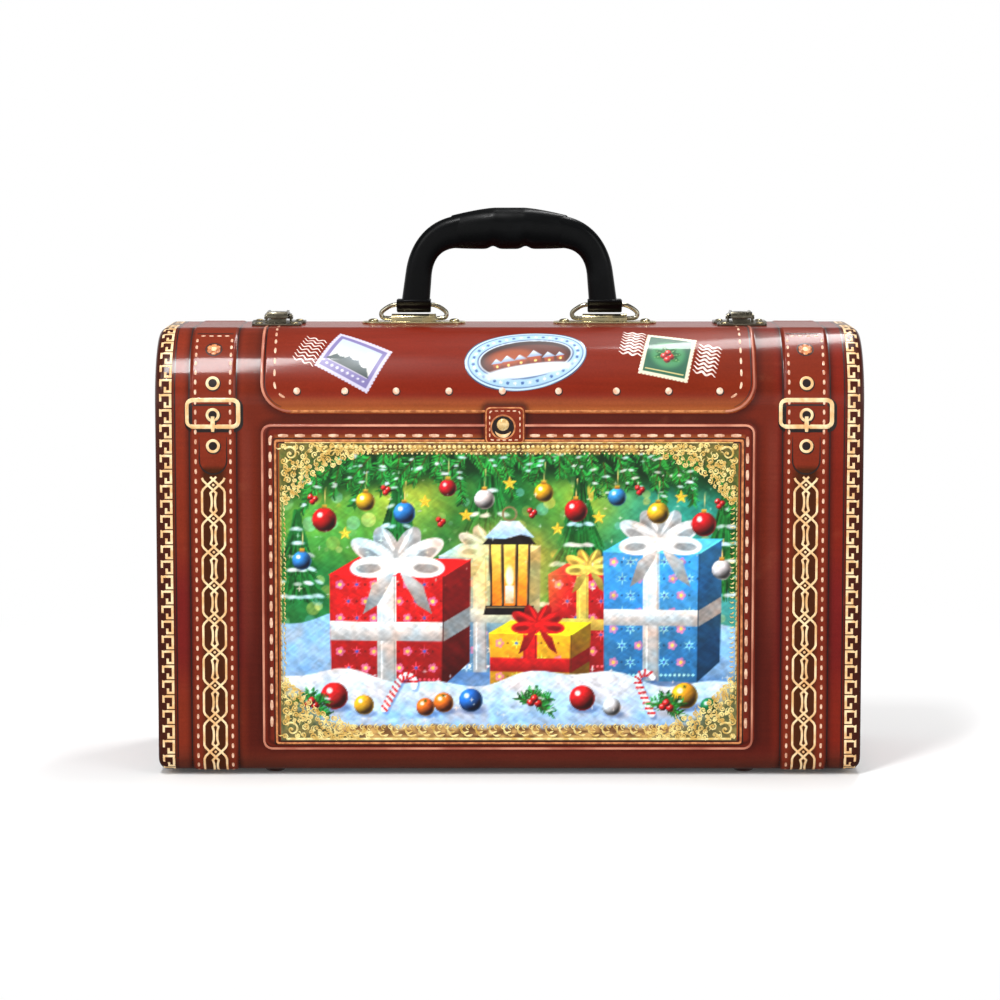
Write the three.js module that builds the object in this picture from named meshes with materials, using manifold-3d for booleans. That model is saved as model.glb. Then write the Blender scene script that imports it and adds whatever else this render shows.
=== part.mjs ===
// Suitcase gift tin: a tinplate clamshell case that stands on its hinged long side,
// with a moulded handle on two folding rings and two draw latches across the top seam.
// Millimetres. +X right, +Y to the back, +Z up. The front half is the lid.
// Origin: on the floor, midway across the case and on the seam between its halves.

import * as THREE from 'three';
import { mergeVertices } from 'three/addons/utils/BufferGeometryUtils.js';
import Module from 'manifold-3d';

const wasm = await Module();
wasm.setup();

// Case
const CASE_WIDTH = 310;
const CASE_HEIGHT = 194;
const HALF_DEPTH = 52;
const TOP_EDGE_RADIUS = 32;
const BOTTOM_EDGE_RADIUS = 7;
const END_EDGE_RADIUS = 4;
const WALL = 0.4;
const SEAM_GAP = 0.3;
const EMBOSS = 0.5;
const EMBOSS_SLOPE = 1;

// Rolled hem inside each mouth, and the neck band that the lid closes over
const HEM_THICKNESS = 0.4;
const HEM_DEPTH = 4;
const HEM_LAP = 0.1;
const BAND_THICKNESS = 0.4;
const BAND_REACH = 5;
const BAND_CLEARANCE = 0.3;
const BAND_LOW_END = 16;

// Pressed feet under the bottom
const FOOT_HEIGHT = 2;
const FOOT_RADIUS = 6;
const FOOT_ROUND_RISE = 0.6;
const FOOT_PAD_RADIUS = 3;
const FOOT_INSET = 51;
const FOOT_EDGE = 13;

// Embossed straps, flap, picture panel and clasp tab: insets from the case's ends, drops from
// its top, and the tab and stud below the flap's low edge
const STRAP_INSET = 25.5;
const STRAP_WIDTH = 20;
const FLAP_INSET = 47.25;
const FLAP_DROP = 35.7;
const FLAP_CORNER = 13;
const PANEL_INSET = 47.25;
const PANEL_RISE = 10.9;
const PANEL_GAP = 4.2;
const PANEL_CORNER = 4.4;
const TAB_X = -2.1;
const TAB_WIDTH = 18.4;
const TAB_DROP = 13.8;
const TAB_HEIGHT = 17.5;
const TAB_CORNER = 2.5;
const STUD_RADIUS = 2.6;
const STUD_RISE = 1.3;
const STUD_DROP = 4.7;

// Fits shared by all hardware
const SEAT_GAP = 0.05;
const RUNNING_GAP = 0.3;
const HOLE_CLEARANCE = 0.3;

// Bottom hinges
const HINGE_INSET = 85;
const HINGE_WIDTH = 40;
const LEAF_THICKNESS = 0.5;
const LEAF_DEPTH = 13;
const LEAF_CORNER = 1;
const KNUCKLE_RADIUS = 1.45;
const HINGE_PIN_RADIUS = 0.7;
const HINGE_PIN_HEAD_RADIUS = 1.1;
const HINGE_PIN_HEAD = 0.6;
const HINGE_AXIS_RISE = 0.1;
const HINGE_RIVET_X = 12;
const HINGE_RIVET_Y = 9;
const NOTCH_ROOM = 0.45;

// Rivets
const SMALL_RIVET = { shank: 1, head: 1.8, rise: 0.6, tail: 1.7, tailRise: 0.5 };
const LARGE_RIVET = { shank: 1.25, head: 2.4, rise: 1.2, tail: 2.2, tailRise: 0.6 };
const TAIL_TAPER = 0.8;

// Handle rings and their plates, on the back half's flat top
const PLATE_Y = 9;
const PLATE_LENGTH = 46.6;
const PLATE_WIDTH = 14;
const PLATE_THICKNESS = 0.8;
const PLATE_END_ROUNDNESS = 0.95;
const PLATE_RIVET_X = 18.3;
const SLEEVE_LENGTH = 20;
const SLEEVE_WALL = 0.7;
const RING_WIRE_RADIUS = 1;
const RING_RISE = 6;
const RING_WIDTH = 30;
const RING_CORNER = 1.5;
const RING_FLANK_RISE = 0.4;
const RING_SHOULDER_RISE = 0.8;

// Handle
const HANDLE_SPAN = 98.9;
const HANDLE_RISE = 44.1;
const LEG_WIDTH = 12.7;
const LEG_DEPTH = 10;
const LEG_INSET = 0.9;
const GRIP_LENGTH = 52.6;
const GRIP_THICKNESS = 18.9;
const GRIP_DEPTH = 15;
const CROWN_FALL = 3.6;
const SLEEVE_STEP = 0.5;
const NOTCH_SPACING = 14.6;
const NOTCH_HEIGHT = 1.3;
const COLLAR_WIDTH = 15.4;
const COLLAR_DEPTH = 10.4;
const COLLAR_TOP = 2.6;
const COLLAR_EYE_RADIUS = 3.4;
const COLLAR_SHOULDER = 0.6;
const COLLAR_BEVEL = 0.5;
const COLLAR_LAP = 0.4;

// Handle's bends, as [inwards from the foot, share of the height] of each curve's pull points
const OUTER_KNEE = [1.8, 0.34];
const OUTER_PULLS = [[3.4, 0.61], [10.1, 0.84]];
const INNER_KNEE = [0.8, 0.5];
const INNER_PULLS = [[1.4, 0.85], [6, 1]];
const INNER_SHOULDER = 13.2;

// Handle's sections and the grip's curves
const ARCH_SQUARENESS = 3.2;
const GRIP_SQUARENESS = 2.6;
const GRIP_SWELL = 0.6;
const CROWN_LEVEL = 0.12;
const CROWN_POWER = 1.4;
const NOTCH_SHARPNESS = 7;
const GRIP_END_LIFT = 0.4;
const GRIP_END_POWER = 4;
const BRIDGE_LIFT = 1.2;

// Draw latches
const LATCH_INSET = 51;
const LATCH_PLATE = 1;
const LATCH_BASE_WIDTH = 24;
const LATCH_BASE_FRONT = 2.2;
const LATCH_BASE_DEPTH = 14.8;
const LATCH_CORNER = 2;
const LATCH_PIN_RADIUS = 0.6;
const LATCH_PIN_HEAD_RADIUS = 1;
const LATCH_PIN_HEAD = 0.4;
const EAR_THICKNESS = 1;
const EAR_RADIUS = 1.6;
const LEVER_WIDTH = 6.8;
const LEVER_PIVOT_Y = 5.5;
const LEVER_PIVOT_Z = 2.9;
const LEVER_KNUCKLE_RADIUS = 1.6;
const LEVER_THROW = 4.6;
const LEVER_THROW_ANGLE = 3;
const LEVER_LENGTH = 12.5;
const LEVER_TAB_WIDTH = 9;
const LEVER_TAB_LENGTH = 4.5;
const LEVER_TAIL = [0.5, 1.5];
const LEVER_TAB_ROOT = [-0.2, 1.3];
const LEVER_HEEL = 0.6;
const LEVER_CROWN = 0.9;
const LINK_ARM = 1;
const LINK_EYE_RADIUS = 1.35;
const LINK_TOP = 5.8;
const LINK_PLATE = 1.2;
const LINK_BRIDGE_BACK = 2;
const LINK_HEEL = 1.5;
const NOSE_THICKNESS = 1;
const LIP_Y = 5.5;
const LIP_THICKNESS = 1;
const LIP_TOP = 2.6;
const LIP_WIDTH = 8;
const NOSE_LIFT = 0.3;
const STRIKE_WIDTH = 22;
const STRIKE_BACK = 2.6;
const STRIKE_DEPTH = 9.8;
const BASE_RIVET_X = 9;
const BASE_RIVET_Y = 12.5;
const STRIKE_RIVET_X = 8;
const STRIKE_RIVET_Y = 9.2;

// Curve fineness
const WIDE_ARC_STEPS = 8;
const TIGHT_ARC_STEPS = 3;
const ARC_STEPS = 4;
const ROUND_SIDES = 12;
const RIVET_SIDES = 8;
const END_EDGE_STEPS = 2;
const RIVET_HEAD_STEPS = 3;
const SECTION_SIDES = 12;
const RING_STEPS = 40;
const RING_SIDES = 7;
const LEG_STEPS = 2;
const SHOULDER_STEPS = 7;
const BRIDGE_STEPS = 2;
const GRIP_STEPS = 13;

// Places and heights that follow from the sizes above
const CASE_BOTTOM = FOOT_HEIGHT;
const CASE_TOP = CASE_BOTTOM + CASE_HEIGHT;
const FLAT_TOP_DEPTH = HALF_DEPTH - TOP_EDGE_RADIUS;
const FLAP_WIDTH = CASE_WIDTH - 2 * FLAP_INSET;
const PANEL_WIDTH = CASE_WIDTH - 2 * PANEL_INSET;
const FLAP_LOW_EDGE = CASE_TOP - FLAP_DROP;
const PANEL_LOW_EDGE = CASE_BOTTOM + PANEL_RISE;
const PANEL_HEIGHT = FLAP_LOW_EDGE - PANEL_GAP - PANEL_LOW_EDGE;
const TAB_LOW_EDGE = FLAP_LOW_EDGE - TAB_DROP;
const STUD_Z = FLAP_LOW_EDGE - STUD_DROP;
const STRAP_X = CASE_WIDTH / 2 - STRAP_INSET;
const HINGE_X = CASE_WIDTH / 2 - HINGE_INSET;
const LATCH_X = CASE_WIDTH / 2 - LATCH_INSET;
const FOOT_X = CASE_WIDTH / 2 - FOOT_INSET;
const FOOT_Y = HALF_DEPTH - FOOT_EDGE;
const PLATE_X = (HANDLE_SPAN - LEG_WIDTH) / 2;
const HINGE_AXIS_Z = CASE_BOTTOM - SEAT_GAP - LEAF_THICKNESS + HINGE_AXIS_RISE;
const RING_AXIS_Z = PLATE_THICKNESS + RING_WIRE_RADIUS + RUNNING_GAP + SEAT_GAP;
const THICKEST = CASE_HEIGHT + CASE_WIDTH;

// Finishes
const finish = (color, roughness, metalness) =>
  new THREE.MeshStandardMaterial({ color, roughness, metalness });
const printedTin = finish(0x742d1e, 0.28, 0.35);
const bareTin = finish(0xb9b4a6, 0.35, 0.9);
const brassPlate = finish(0xb9a678, 0.3, 0.95);
const steelPin = finish(0x9a968c, 0.3, 1);
const blackPlastic = finish(0x0b0d0f, 0.32, 0);

// Solids and geometries
function toSolid(geometry) {
  const bare = geometry.clone();
  bare.deleteAttribute('normal');
  bare.deleteAttribute('uv');
  const merged = mergeVertices(bare, 1e-5);
  const corners = merged.index.array;
  const kept = [];
  for (let i = 0; i < corners.length; i += 3) {
    const [a, b, c] = corners.slice(i, i + 3);
    if (a !== b && b !== c && c !== a) kept.push(a, b, c);
  }
  return new wasm.Manifold(new wasm.Mesh({
    numProp: 3,
    vertProperties: new Float32Array(merged.attributes.position.array),
    triVerts: new Uint32Array(kept),
  }));
}

function toGeometry(solid) {
  const mesh = solid.getMesh();
  const geometry = new THREE.BufferGeometry();
  geometry.setAttribute('position', new THREE.BufferAttribute(mesh.vertProperties, 3));
  geometry.setIndex(new THREE.BufferAttribute(mesh.triVerts, 1));
  geometry.computeVertexNormals();
  return geometry;
}

const joined = (...solids) => solids.reduce((whole, next) => whole.add(next));
const less = (solid, ...cuts) => cuts.reduce((rest, cut) => rest.subtract(cut), solid);

// A block between two corners
function block([x0, y0, z0], [x1, y1, z1]) {
  const geometry = new THREE.BoxGeometry(x1 - x0, y1 - y0, z1 - z0);
  geometry.translate((x0 + x1) / 2, (y0 + y1) / 2, (z0 + z1) / 2);
  return toSolid(geometry);
}

// An outline drawn in (y, z), carried along X about the centre
function alongX(shape, width, options = {}) {
  const bevel = options.bevelThickness ?? 0;
  const geometry = new THREE.ExtrudeGeometry(shape, {
    depth: width - 2 * bevel,
    curveSegments: ARC_STEPS,
    bevelEnabled: bevel > 0,
    ...options,
  });
  geometry.translate(0, 0, -(width - 2 * bevel) / 2);
  const turn = new THREE.Matrix4().makeBasis(
    new THREE.Vector3(0, 1, 0), new THREE.Vector3(0, 0, 1), new THREE.Vector3(1, 0, 0));
  geometry.applyMatrix4(turn);
  return toSolid(geometry);
}

// An outline drawn in (x, z), carried from y = back towards the front
function alongY(shape, back, depth, options = {}) {
  const bevel = options.bevelThickness ?? 0;
  const geometry = new THREE.ExtrudeGeometry(shape, {
    depth: depth - 2 * bevel,
    curveSegments: ARC_STEPS,
    bevelEnabled: bevel > 0,
    ...options,
  });
  geometry.translate(0, 0, bevel);
  const turn = new THREE.Matrix4().makeBasis(
    new THREE.Vector3(1, 0, 0), new THREE.Vector3(0, 0, 1), new THREE.Vector3(0, -1, 0));
  geometry.applyMatrix4(turn);
  geometry.translate(0, back, 0);
  return toSolid(geometry);
}

// An outline drawn in (x, y), carried up from z = low
function alongZ(shape, low, height) {
  const geometry = new THREE.ExtrudeGeometry(shape, {
    depth: height, curveSegments: ARC_STEPS, bevelEnabled: false,
  });
  geometry.translate(0, 0, low);
  return toSolid(geometry);
}

// A round bar along X through (y, z)
function barX(radius, length, x = 0, y = 0, z = 0, sides = ROUND_SIDES) {
  const geometry = new THREE.CylinderGeometry(radius, radius, length, sides);
  geometry.rotateZ(Math.PI / 2);
  geometry.translate(x, y, z);
  return toSolid(geometry);
}

// A round bar along Z
function barZ(radius, low, high, x = 0, y = 0) {
  const geometry = new THREE.CylinderGeometry(radius, radius, high - low, RIVET_SIDES);
  geometry.rotateX(Math.PI / 2);
  geometry.translate(x, y, (low + high) / 2);
  return toSolid(geometry);
}

function roundedRectangle(x0, y0, x1, y1, radius) {
  const shape = new THREE.Shape();
  shape.absarc(x1 - radius, y0 + radius, radius, -Math.PI / 2, 0);
  shape.absarc(x1 - radius, y1 - radius, radius, 0, Math.PI / 2);
  shape.absarc(x0 + radius, y1 - radius, radius, Math.PI / 2, Math.PI);
  shape.absarc(x0 + radius, y0 + radius, radius, Math.PI, 1.5 * Math.PI);
  return shape;
}

// Case outline in (y, z), swollen by the offset: flat top and bottom, wide round top edges
function caseOutline(offset) {
  const half = HALF_DEPTH + offset;
  const top = CASE_TOP + offset;
  const bottom = CASE_BOTTOM - offset;
  const wide = TOP_EDGE_RADIUS + offset;
  const tight = BOTTOM_EDGE_RADIUS + offset;
  const quarter = Math.PI / 2;
  const corner = (y, z, radius, start, steps) =>
    new THREE.EllipseCurve(y, z, radius, radius, start, start + quarter).getPoints(steps);
  return new THREE.Shape([
    ...corner(half - tight, bottom + tight, tight, -quarter, TIGHT_ARC_STEPS),
    ...corner(half - wide, top - wide, wide, 0, WIDE_ARC_STEPS),
    ...corner(wide - half, top - wide, wide, quarter, WIDE_ARC_STEPS),
    ...corner(tight - half, bottom + tight, tight, 2 * quarter, TIGHT_ARC_STEPS),
  ]);
}

// Whole case as a solid, its ends rounded over
function caseSolid(offset) {
  const rounding = END_EDGE_RADIUS + offset;
  return alongX(caseOutline(offset), CASE_WIDTH + 2 * offset, {
    bevelThickness: rounding,
    bevelSize: rounding,
    bevelOffset: -rounding,
    bevelSegments: END_EDGE_STEPS,
  });
}

// A raised slice of the case outline, with sloping sides
function raisedSlice(width, lift) {
  return alongX(caseOutline(lift), width, {
    bevelThickness: EMBOSS_SLOPE,
    bevelSize: EMBOSS,
    bevelOffset: -EMBOSS,
    bevelSegments: 1,
  });
}

// Space in front of the flat top and bottom, where the sheet is embossed
function embossZone() {
  const bottomFlat = HALF_DEPTH - BOTTOM_EDGE_RADIUS;
  const upper = block([-THICKEST, -THICKEST, CASE_BOTTOM + CASE_HEIGHT / 2],
    [THICKEST, -FLAT_TOP_DEPTH, THICKEST]);
  const lower = block([-THICKEST, -THICKEST, -THICKEST],
    [THICKEST, -bottomFlat, CASE_BOTTOM + CASE_HEIGHT / 2]);
  return upper.add(lower);
}

// Raised straps of one half: inset is 0 for the outside and the wall for the inside
function strapEmboss(inset) {
  const slice = raisedSlice(STRAP_WIDTH - 2 * inset, EMBOSS - inset);
  return joined(
    slice.translate([-STRAP_X, 0, 0]),
    slice.translate([STRAP_X, 0, 0])).intersect(embossZone());
}

function flapEmboss(inset) {
  const half = FLAP_WIDTH / 2 - inset;
  const outline = roundedRectangle(-half, FLAP_LOW_EDGE + inset, half,
    CASE_TOP + 2 * FLAP_CORNER, FLAP_CORNER - inset);
  return raisedSlice(FLAP_WIDTH - 2 * inset, EMBOSS - inset)
    .intersect(alongY(outline, 0, THICKEST))
    .intersect(embossZone());
}

// A raised plate on the flat front
function frontPlate(x0, z0, width, height, corner, inset) {
  const outline = roundedRectangle(x0 + inset, z0 + inset,
    x0 + width - inset, z0 + height - inset, corner - inset);
  const depth = END_EDGE_RADIUS;
  const face = HALF_DEPTH + EMBOSS - inset;
  return alongY(outline, depth - face, depth, {
    bevelThickness: EMBOSS,
    bevelSize: EMBOSS_SLOPE,
    bevelOffset: -EMBOSS_SLOPE,
    bevelSegments: 1,
  });
}

function frontEmboss(inset) {
  return joined(
    strapEmboss(inset),
    flapEmboss(inset),
    frontPlate(-PANEL_WIDTH / 2, PANEL_LOW_EDGE, PANEL_WIDTH, PANEL_HEIGHT, PANEL_CORNER, inset),
    frontPlate(TAB_X - TAB_WIDTH / 2, TAB_LOW_EDGE, TAB_WIDTH, TAB_HEIGHT, TAB_CORNER, inset));
}

// Domed stud of the clasp tab
function claspStud() {
  const dome = new THREE.SphereGeometry(STUD_RADIUS, ROUND_SIDES, ROUND_SIDES / 2);
  dome.scale(1, STUD_RISE / STUD_RADIUS, 1);
  dome.translate(TAB_X, -(HALF_DEPTH + EMBOSS), STUD_Z);
  const front = block([-THICKEST, -THICKEST, 0], [THICKEST, -HALF_DEPTH, THICKEST]);
  return toSolid(dome).intersect(front);
}

// A pressed foot: a dome with a flat pad, standing on z = 0
function footDome(inset) {
  const base = FOOT_RADIUS - inset;
  const low = inset;
  const profile = [
    new THREE.Vector2(0, low),
    new THREE.Vector2(FOOT_PAD_RADIUS, low),
    new THREE.Vector2((FOOT_PAD_RADIUS + base) / 2, low + FOOT_ROUND_RISE),
    new THREE.Vector2(base, CASE_BOTTOM),
    new THREE.Vector2(base, CASE_BOTTOM + 2 * WALL),
    new THREE.Vector2(0, CASE_BOTTOM + 2 * WALL),
  ];
  const geometry = new THREE.LatheGeometry(profile, ROUND_SIDES);
  geometry.rotateX(Math.PI / 2);
  return toSolid(geometry);
}

const FEET = [-FOOT_X, FOOT_X];

// Rolled hem inside the mouth, lapping a little into the wall
function hemRing() {
  return less(caseSolid(HEM_LAP - WALL), caseSolid(-WALL - HEM_THICKNESS))
    .intersect(block([-THICKEST, -HEM_DEPTH - SEAM_GAP / 2, 0], [THICKEST, -SEAM_GAP / 2, THICKEST]));
}

// Room for the hinge barrels in the mouth of either half
function barrelNotches() {
  const half = HINGE_WIDTH / 2 + HINGE_PIN_HEAD + RUNNING_GAP + NOTCH_ROOM;
  const reach = KNUCKLE_RADIUS + NOTCH_ROOM;
  const notch = (x) => block([x - half, -reach, 0],
    [x + half, reach, HINGE_AXIS_Z + reach]);
  return notch(-HINGE_X).add(notch(HINGE_X));
}

const bottomRivetSites = (side) => [-HINGE_X, HINGE_X].flatMap((x) =>
  [-HINGE_RIVET_X, HINGE_RIVET_X].map((dx) => [x + dx, side * HINGE_RIVET_Y]));
const strikeRivetSites = [-LATCH_X, LATCH_X].flatMap((x) =>
  [-STRIKE_RIVET_X, STRIKE_RIVET_X].map((dx) => [x + dx, -STRIKE_RIVET_Y]));
const baseRivetSites = [-LATCH_X, LATCH_X].flatMap((x) =>
  [-BASE_RIVET_X, BASE_RIVET_X].map((dx) => [x + dx, BASE_RIVET_Y]));
const plateRivetSites = [-PLATE_X, PLATE_X].flatMap((x) =>
  [-PLATE_RIVET_X, PLATE_RIVET_X].map((dx) => [x + dx, PLATE_Y]));

function rivetHoles(sites, rivet, low, high) {
  return joined(...sites.map(([x, y]) => barZ(rivet.shank + HOLE_CLEARANCE, low, high, x, y)));
}

// One half of the case, facing the front: sheet, hem, feet and hinge notches
function halfShell(outsideEmboss, insideEmboss) {
  const front = block([-THICKEST, -THICKEST, -1], [THICKEST, -SEAM_GAP / 2, THICKEST]);
  let outside = caseSolid(0).add(outsideEmboss);
  let inside = caseSolid(-WALL).add(insideEmboss);
  for (const x of FEET) {
    outside = outside.add(footDome(0).translate([x, -FOOT_Y, 0]));
    inside = inside.add(footDome(WALL).translate([x, -FOOT_Y, 0]));
  }
  const sheet = less(outside, inside).intersect(front);
  return less(sheet.add(hemRing()), barrelNotches());
}

function frontShell() {
  const top = [CASE_TOP - WALL * 4, CASE_TOP + 1];
  const bottom = [CASE_BOTTOM - 1, CASE_BOTTOM + WALL * 4];
  return less(
    halfShell(frontEmboss(0), frontEmboss(WALL)).add(claspStud()),
    rivetHoles(bottomRivetSites(-1), SMALL_RIVET, ...bottom),
    rivetHoles(strikeRivetSites, SMALL_RIVET, ...top));
}

function backShell() {
  const top = [CASE_TOP - WALL * 4, CASE_TOP + 1];
  const bottom = [CASE_BOTTOM - 1, CASE_BOTTOM + WALL * 4];
  return less(
    halfShell(strapEmboss(0), strapEmboss(WALL)).mirror([0, 1, 0]),
    rivetHoles(bottomRivetSites(1), SMALL_RIVET, ...bottom),
    rivetHoles(baseRivetSites, SMALL_RIVET, ...top),
    rivetHoles(plateRivetSites, LARGE_RIVET, ...top));
}

// Neck band fixed in the back half's mouth, over the top and down both ends
function rimBand() {
  const outer = -WALL - HEM_THICKNESS - BAND_CLEARANCE;
  return less(caseSolid(outer), caseSolid(outer - BAND_THICKNESS))
    .intersect(block([-THICKEST, -BAND_REACH, CASE_BOTTOM + BAND_LOW_END],
      [THICKEST, BAND_REACH, THICKEST]));
}

// A rivet along Z: its head's underside at z = 0, clamping down to z = -grip
function rivetGeometry(rivet, grip) {
  const profile = [new THREE.Vector2(0, -grip - rivet.tailRise)];
  profile.push(new THREE.Vector2(rivet.tail * TAIL_TAPER, -grip - rivet.tailRise));
  profile.push(new THREE.Vector2(rivet.tail, -grip));
  profile.push(new THREE.Vector2(rivet.shank, -grip));
  profile.push(new THREE.Vector2(rivet.shank, 0));
  for (let i = 0; i < RIVET_HEAD_STEPS; i += 1) {
    const turn = (i / RIVET_HEAD_STEPS) * (Math.PI / 2);
    profile.push(new THREE.Vector2(rivet.head * Math.cos(turn), rivet.rise * Math.sin(turn)));
  }
  profile.push(new THREE.Vector2(0, rivet.rise));
  const geometry = new THREE.LatheGeometry(profile, RIVET_SIDES);
  geometry.rotateX(Math.PI / 2);
  return toGeometry(toSolid(geometry));
}

// One leaf of a bottom hinge on the -Y side, its barrel along X at the origin
function hingeLeaf(barrels) {
  const top = CASE_BOTTOM - SEAT_GAP - HINGE_AXIS_Z;
  const low = top - LEAF_THICKNESS;
  const start = KNUCKLE_RADIUS + RUNNING_GAP + SEAT_GAP;
  const half = HINGE_WIDTH / 2;
  const outline = roundedRectangle(-half, -LEAF_DEPTH, half, -start, LEAF_CORNER);
  let leaf = alongZ(outline, low, LEAF_THICKNESS);
  for (const [x0, x1] of barrels) {
    leaf = leaf.add(block([x0, -start - LEAF_CORNER, low], [x1, 0, top]));
    leaf = leaf.add(barX(KNUCKLE_RADIUS, x1 - x0, (x0 + x1) / 2));
  }
  const holes = [-HINGE_RIVET_X, HINGE_RIVET_X].map((x) =>
    barZ(SMALL_RIVET.shank + HOLE_CLEARANCE, low - 1, top + 1, x, -HINGE_RIVET_Y));
  return less(leaf, barX(HINGE_PIN_RADIUS + HOLE_CLEARANCE, 2 * HINGE_WIDTH), ...holes);
}

// The lid's leaf has the middle barrel, the case's leaf the two outer ones
function hingeBarrels() {
  const half = HINGE_WIDTH / 2;
  const middle = HINGE_WIDTH / 4;
  return {
    lid: [[-middle, middle]],
    body: [[-half, -middle - RUNNING_GAP], [middle + RUNNING_GAP, half]],
  };
}

// A pin along X with a head at each end, its heads running clear of what it holds
function headedPin(radius, headRadius, head, between) {
  const half = between / 2;
  return joined(
    barX(radius, between + head),
    barX(headRadius, head, -half - head / 2),
    barX(headRadius, head, half + head / 2));
}

// Handle plate: a round-ended plate with a sleeve pressed up round the ring's bar
function handlePlate() {
  const end = PLATE_WIDTH / 2;
  const outline = roundedRectangle(-PLATE_LENGTH / 2, -end, PLATE_LENGTH / 2, end,
    end * PLATE_END_ROUNDNESS);
  const bore = RING_WIRE_RADIUS + RUNNING_GAP;
  const flank = bore + SLEEVE_WALL;
  const web = block([-SLEEVE_LENGTH / 2, -flank, PLATE_THICKNESS / 2],
    [SLEEVE_LENGTH / 2, flank, RING_AXIS_Z]);
  const holes = [-PLATE_RIVET_X, PLATE_RIVET_X].map((x) =>
    barZ(LARGE_RIVET.shank + HOLE_CLEARANCE, -1, PLATE_THICKNESS + 1, x));
  return less(
    joined(alongZ(outline, 0, PLATE_THICKNESS), web,
      barX(flank, SLEEVE_LENGTH, 0, 0, RING_AXIS_Z)),
    barX(bore, PLATE_LENGTH, 0, 0, RING_AXIS_Z), ...holes);
}

// Handle ring: a wire loop with a straight foot bar at z = 0 and a top bar at the ring's rise
function handleRing() {
  const foot = RING_WIDTH / 2;
  const top = COLLAR_WIDTH / 2 + RING_WIRE_RADIUS + RUNNING_GAP;
  const corner = RING_CORNER;
  const half = [
    [0, 0], [foot / 2, 0], [foot - 2 * corner, 0], [foot - corner / 2, corner / 3],
    [foot - corner / 5, RING_RISE * RING_FLANK_RISE],
    [(foot + top) / 2, RING_RISE * RING_SHOULDER_RISE],
    [top, RING_RISE], [top / 2, RING_RISE],
  ];
  const points = half.map(([x, z]) => new THREE.Vector3(x, 0, z));
  points.push(new THREE.Vector3(0, 0, RING_RISE));
  for (const [x, z] of half.slice(1).reverse()) {
    points.push(new THREE.Vector3(-x, 0, z));
  }
  const loop = new THREE.CatmullRomCurve3(points, true, 'centripetal');
  return toSolid(new THREE.TubeGeometry(loop, RING_STEPS, RING_WIRE_RADIUS, RING_SIDES, true));
}

// Underside of the grip in z at x: three finger lobes with a notch between each pair
function gripUnderside(x) {
  const low = HANDLE_RISE - GRIP_THICKNESS;
  const fromNotch = (Math.abs(x) - NOTCH_SPACING / 2) / (NOTCH_SPACING / NOTCH_SHARPNESS);
  const endLift = NOTCH_HEIGHT * GRIP_END_LIFT * (2 * x / GRIP_LENGTH) ** GRIP_END_POWER;
  return low + NOTCH_HEIGHT * Math.exp(-(fromNotch ** 2)) + endLift;
}

// Crown of the grip in z at x: level in the middle, falling to the shoulders
function gripCrown(x) {
  const level = GRIP_LENGTH * CROWN_LEVEL;
  const fall = Math.max(Math.abs(x) - level, 0) / (GRIP_LENGTH / 2 - level);
  return HANDLE_RISE - CROWN_FALL * fall ** CROWN_POWER;
}

// A loft of rounded sections, each spanning an outer and an inner point of the (x, z) plane
function sectionLoft(stations, squareness) {
  const positions = [];
  const triangles = [];
  const around = SECTION_SIDES;
  const round = (value) => Math.sign(value) * Math.abs(value) ** (2 / squareness);
  for (const { outer, inner, depth } of stations) {
    for (let k = 0; k < around; k += 1) {
      const turn = ((k + 0.5) / around) * 2 * Math.PI;
      const across = (1 + round(Math.cos(turn))) / 2;
      positions.push(
        THREE.MathUtils.lerp(inner.x, outer.x, across),
        (depth / 2) * round(Math.sin(turn)),
        THREE.MathUtils.lerp(inner.y, outer.y, across));
    }
  }
  for (let i = 0; i + 1 < stations.length; i += 1) {
    for (let k = 0; k < around; k += 1) {
      const a = i * around + k;
      const b = i * around + ((k + 1) % around);
      triangles.push(a, b, b + around, a, b + around, a + around);
    }
  }
  const last = (stations.length - 1) * around;
  for (let k = 1; k + 1 < around; k += 1) {
    triangles.push(0, k + 1, k, last, last + k, last + k + 1);
  }
  const geometry = new THREE.BufferGeometry();
  geometry.setAttribute('position', new THREE.Float32BufferAttribute(positions, 3));
  geometry.setIndex(triangles);
  return toSolid(geometry);
}

// Stations of the right half, from the foot to the middle, followed by their mirror images
function mirrored(stations) {
  const flip = (point) => new THREE.Vector2(-point.x, point.y);
  const left = stations.slice(0, -1).reverse().map(({ outer, inner, depth }) =>
    ({ outer: flip(outer), inner: flip(inner), depth }));
  return [...stations, ...left];
}

// One side of the arch: straight leg, rounded shoulder, half of the bridge
function archSide(foot, knee, pulls, shoulder, bridgeHeight) {
  const point = (pair) => new THREE.Vector2(...pair);
  const leg = new THREE.LineCurve(point(foot), point(knee)).getPoints(LEG_STEPS);
  const bend = new THREE.CubicBezierCurve(
    point(knee), point(pulls[0]), point(pulls[1]), point(shoulder)).getPoints(SHOULDER_STEPS);
  const bridge = [];
  for (let i = 1; i <= BRIDGE_STEPS; i += 1) {
    const x = shoulder[0] * (1 - i / BRIDGE_STEPS);
    bridge.push(new THREE.Vector2(x, bridgeHeight(x)));
  }
  return [...leg, ...bend.slice(1), ...bridge];
}

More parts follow.
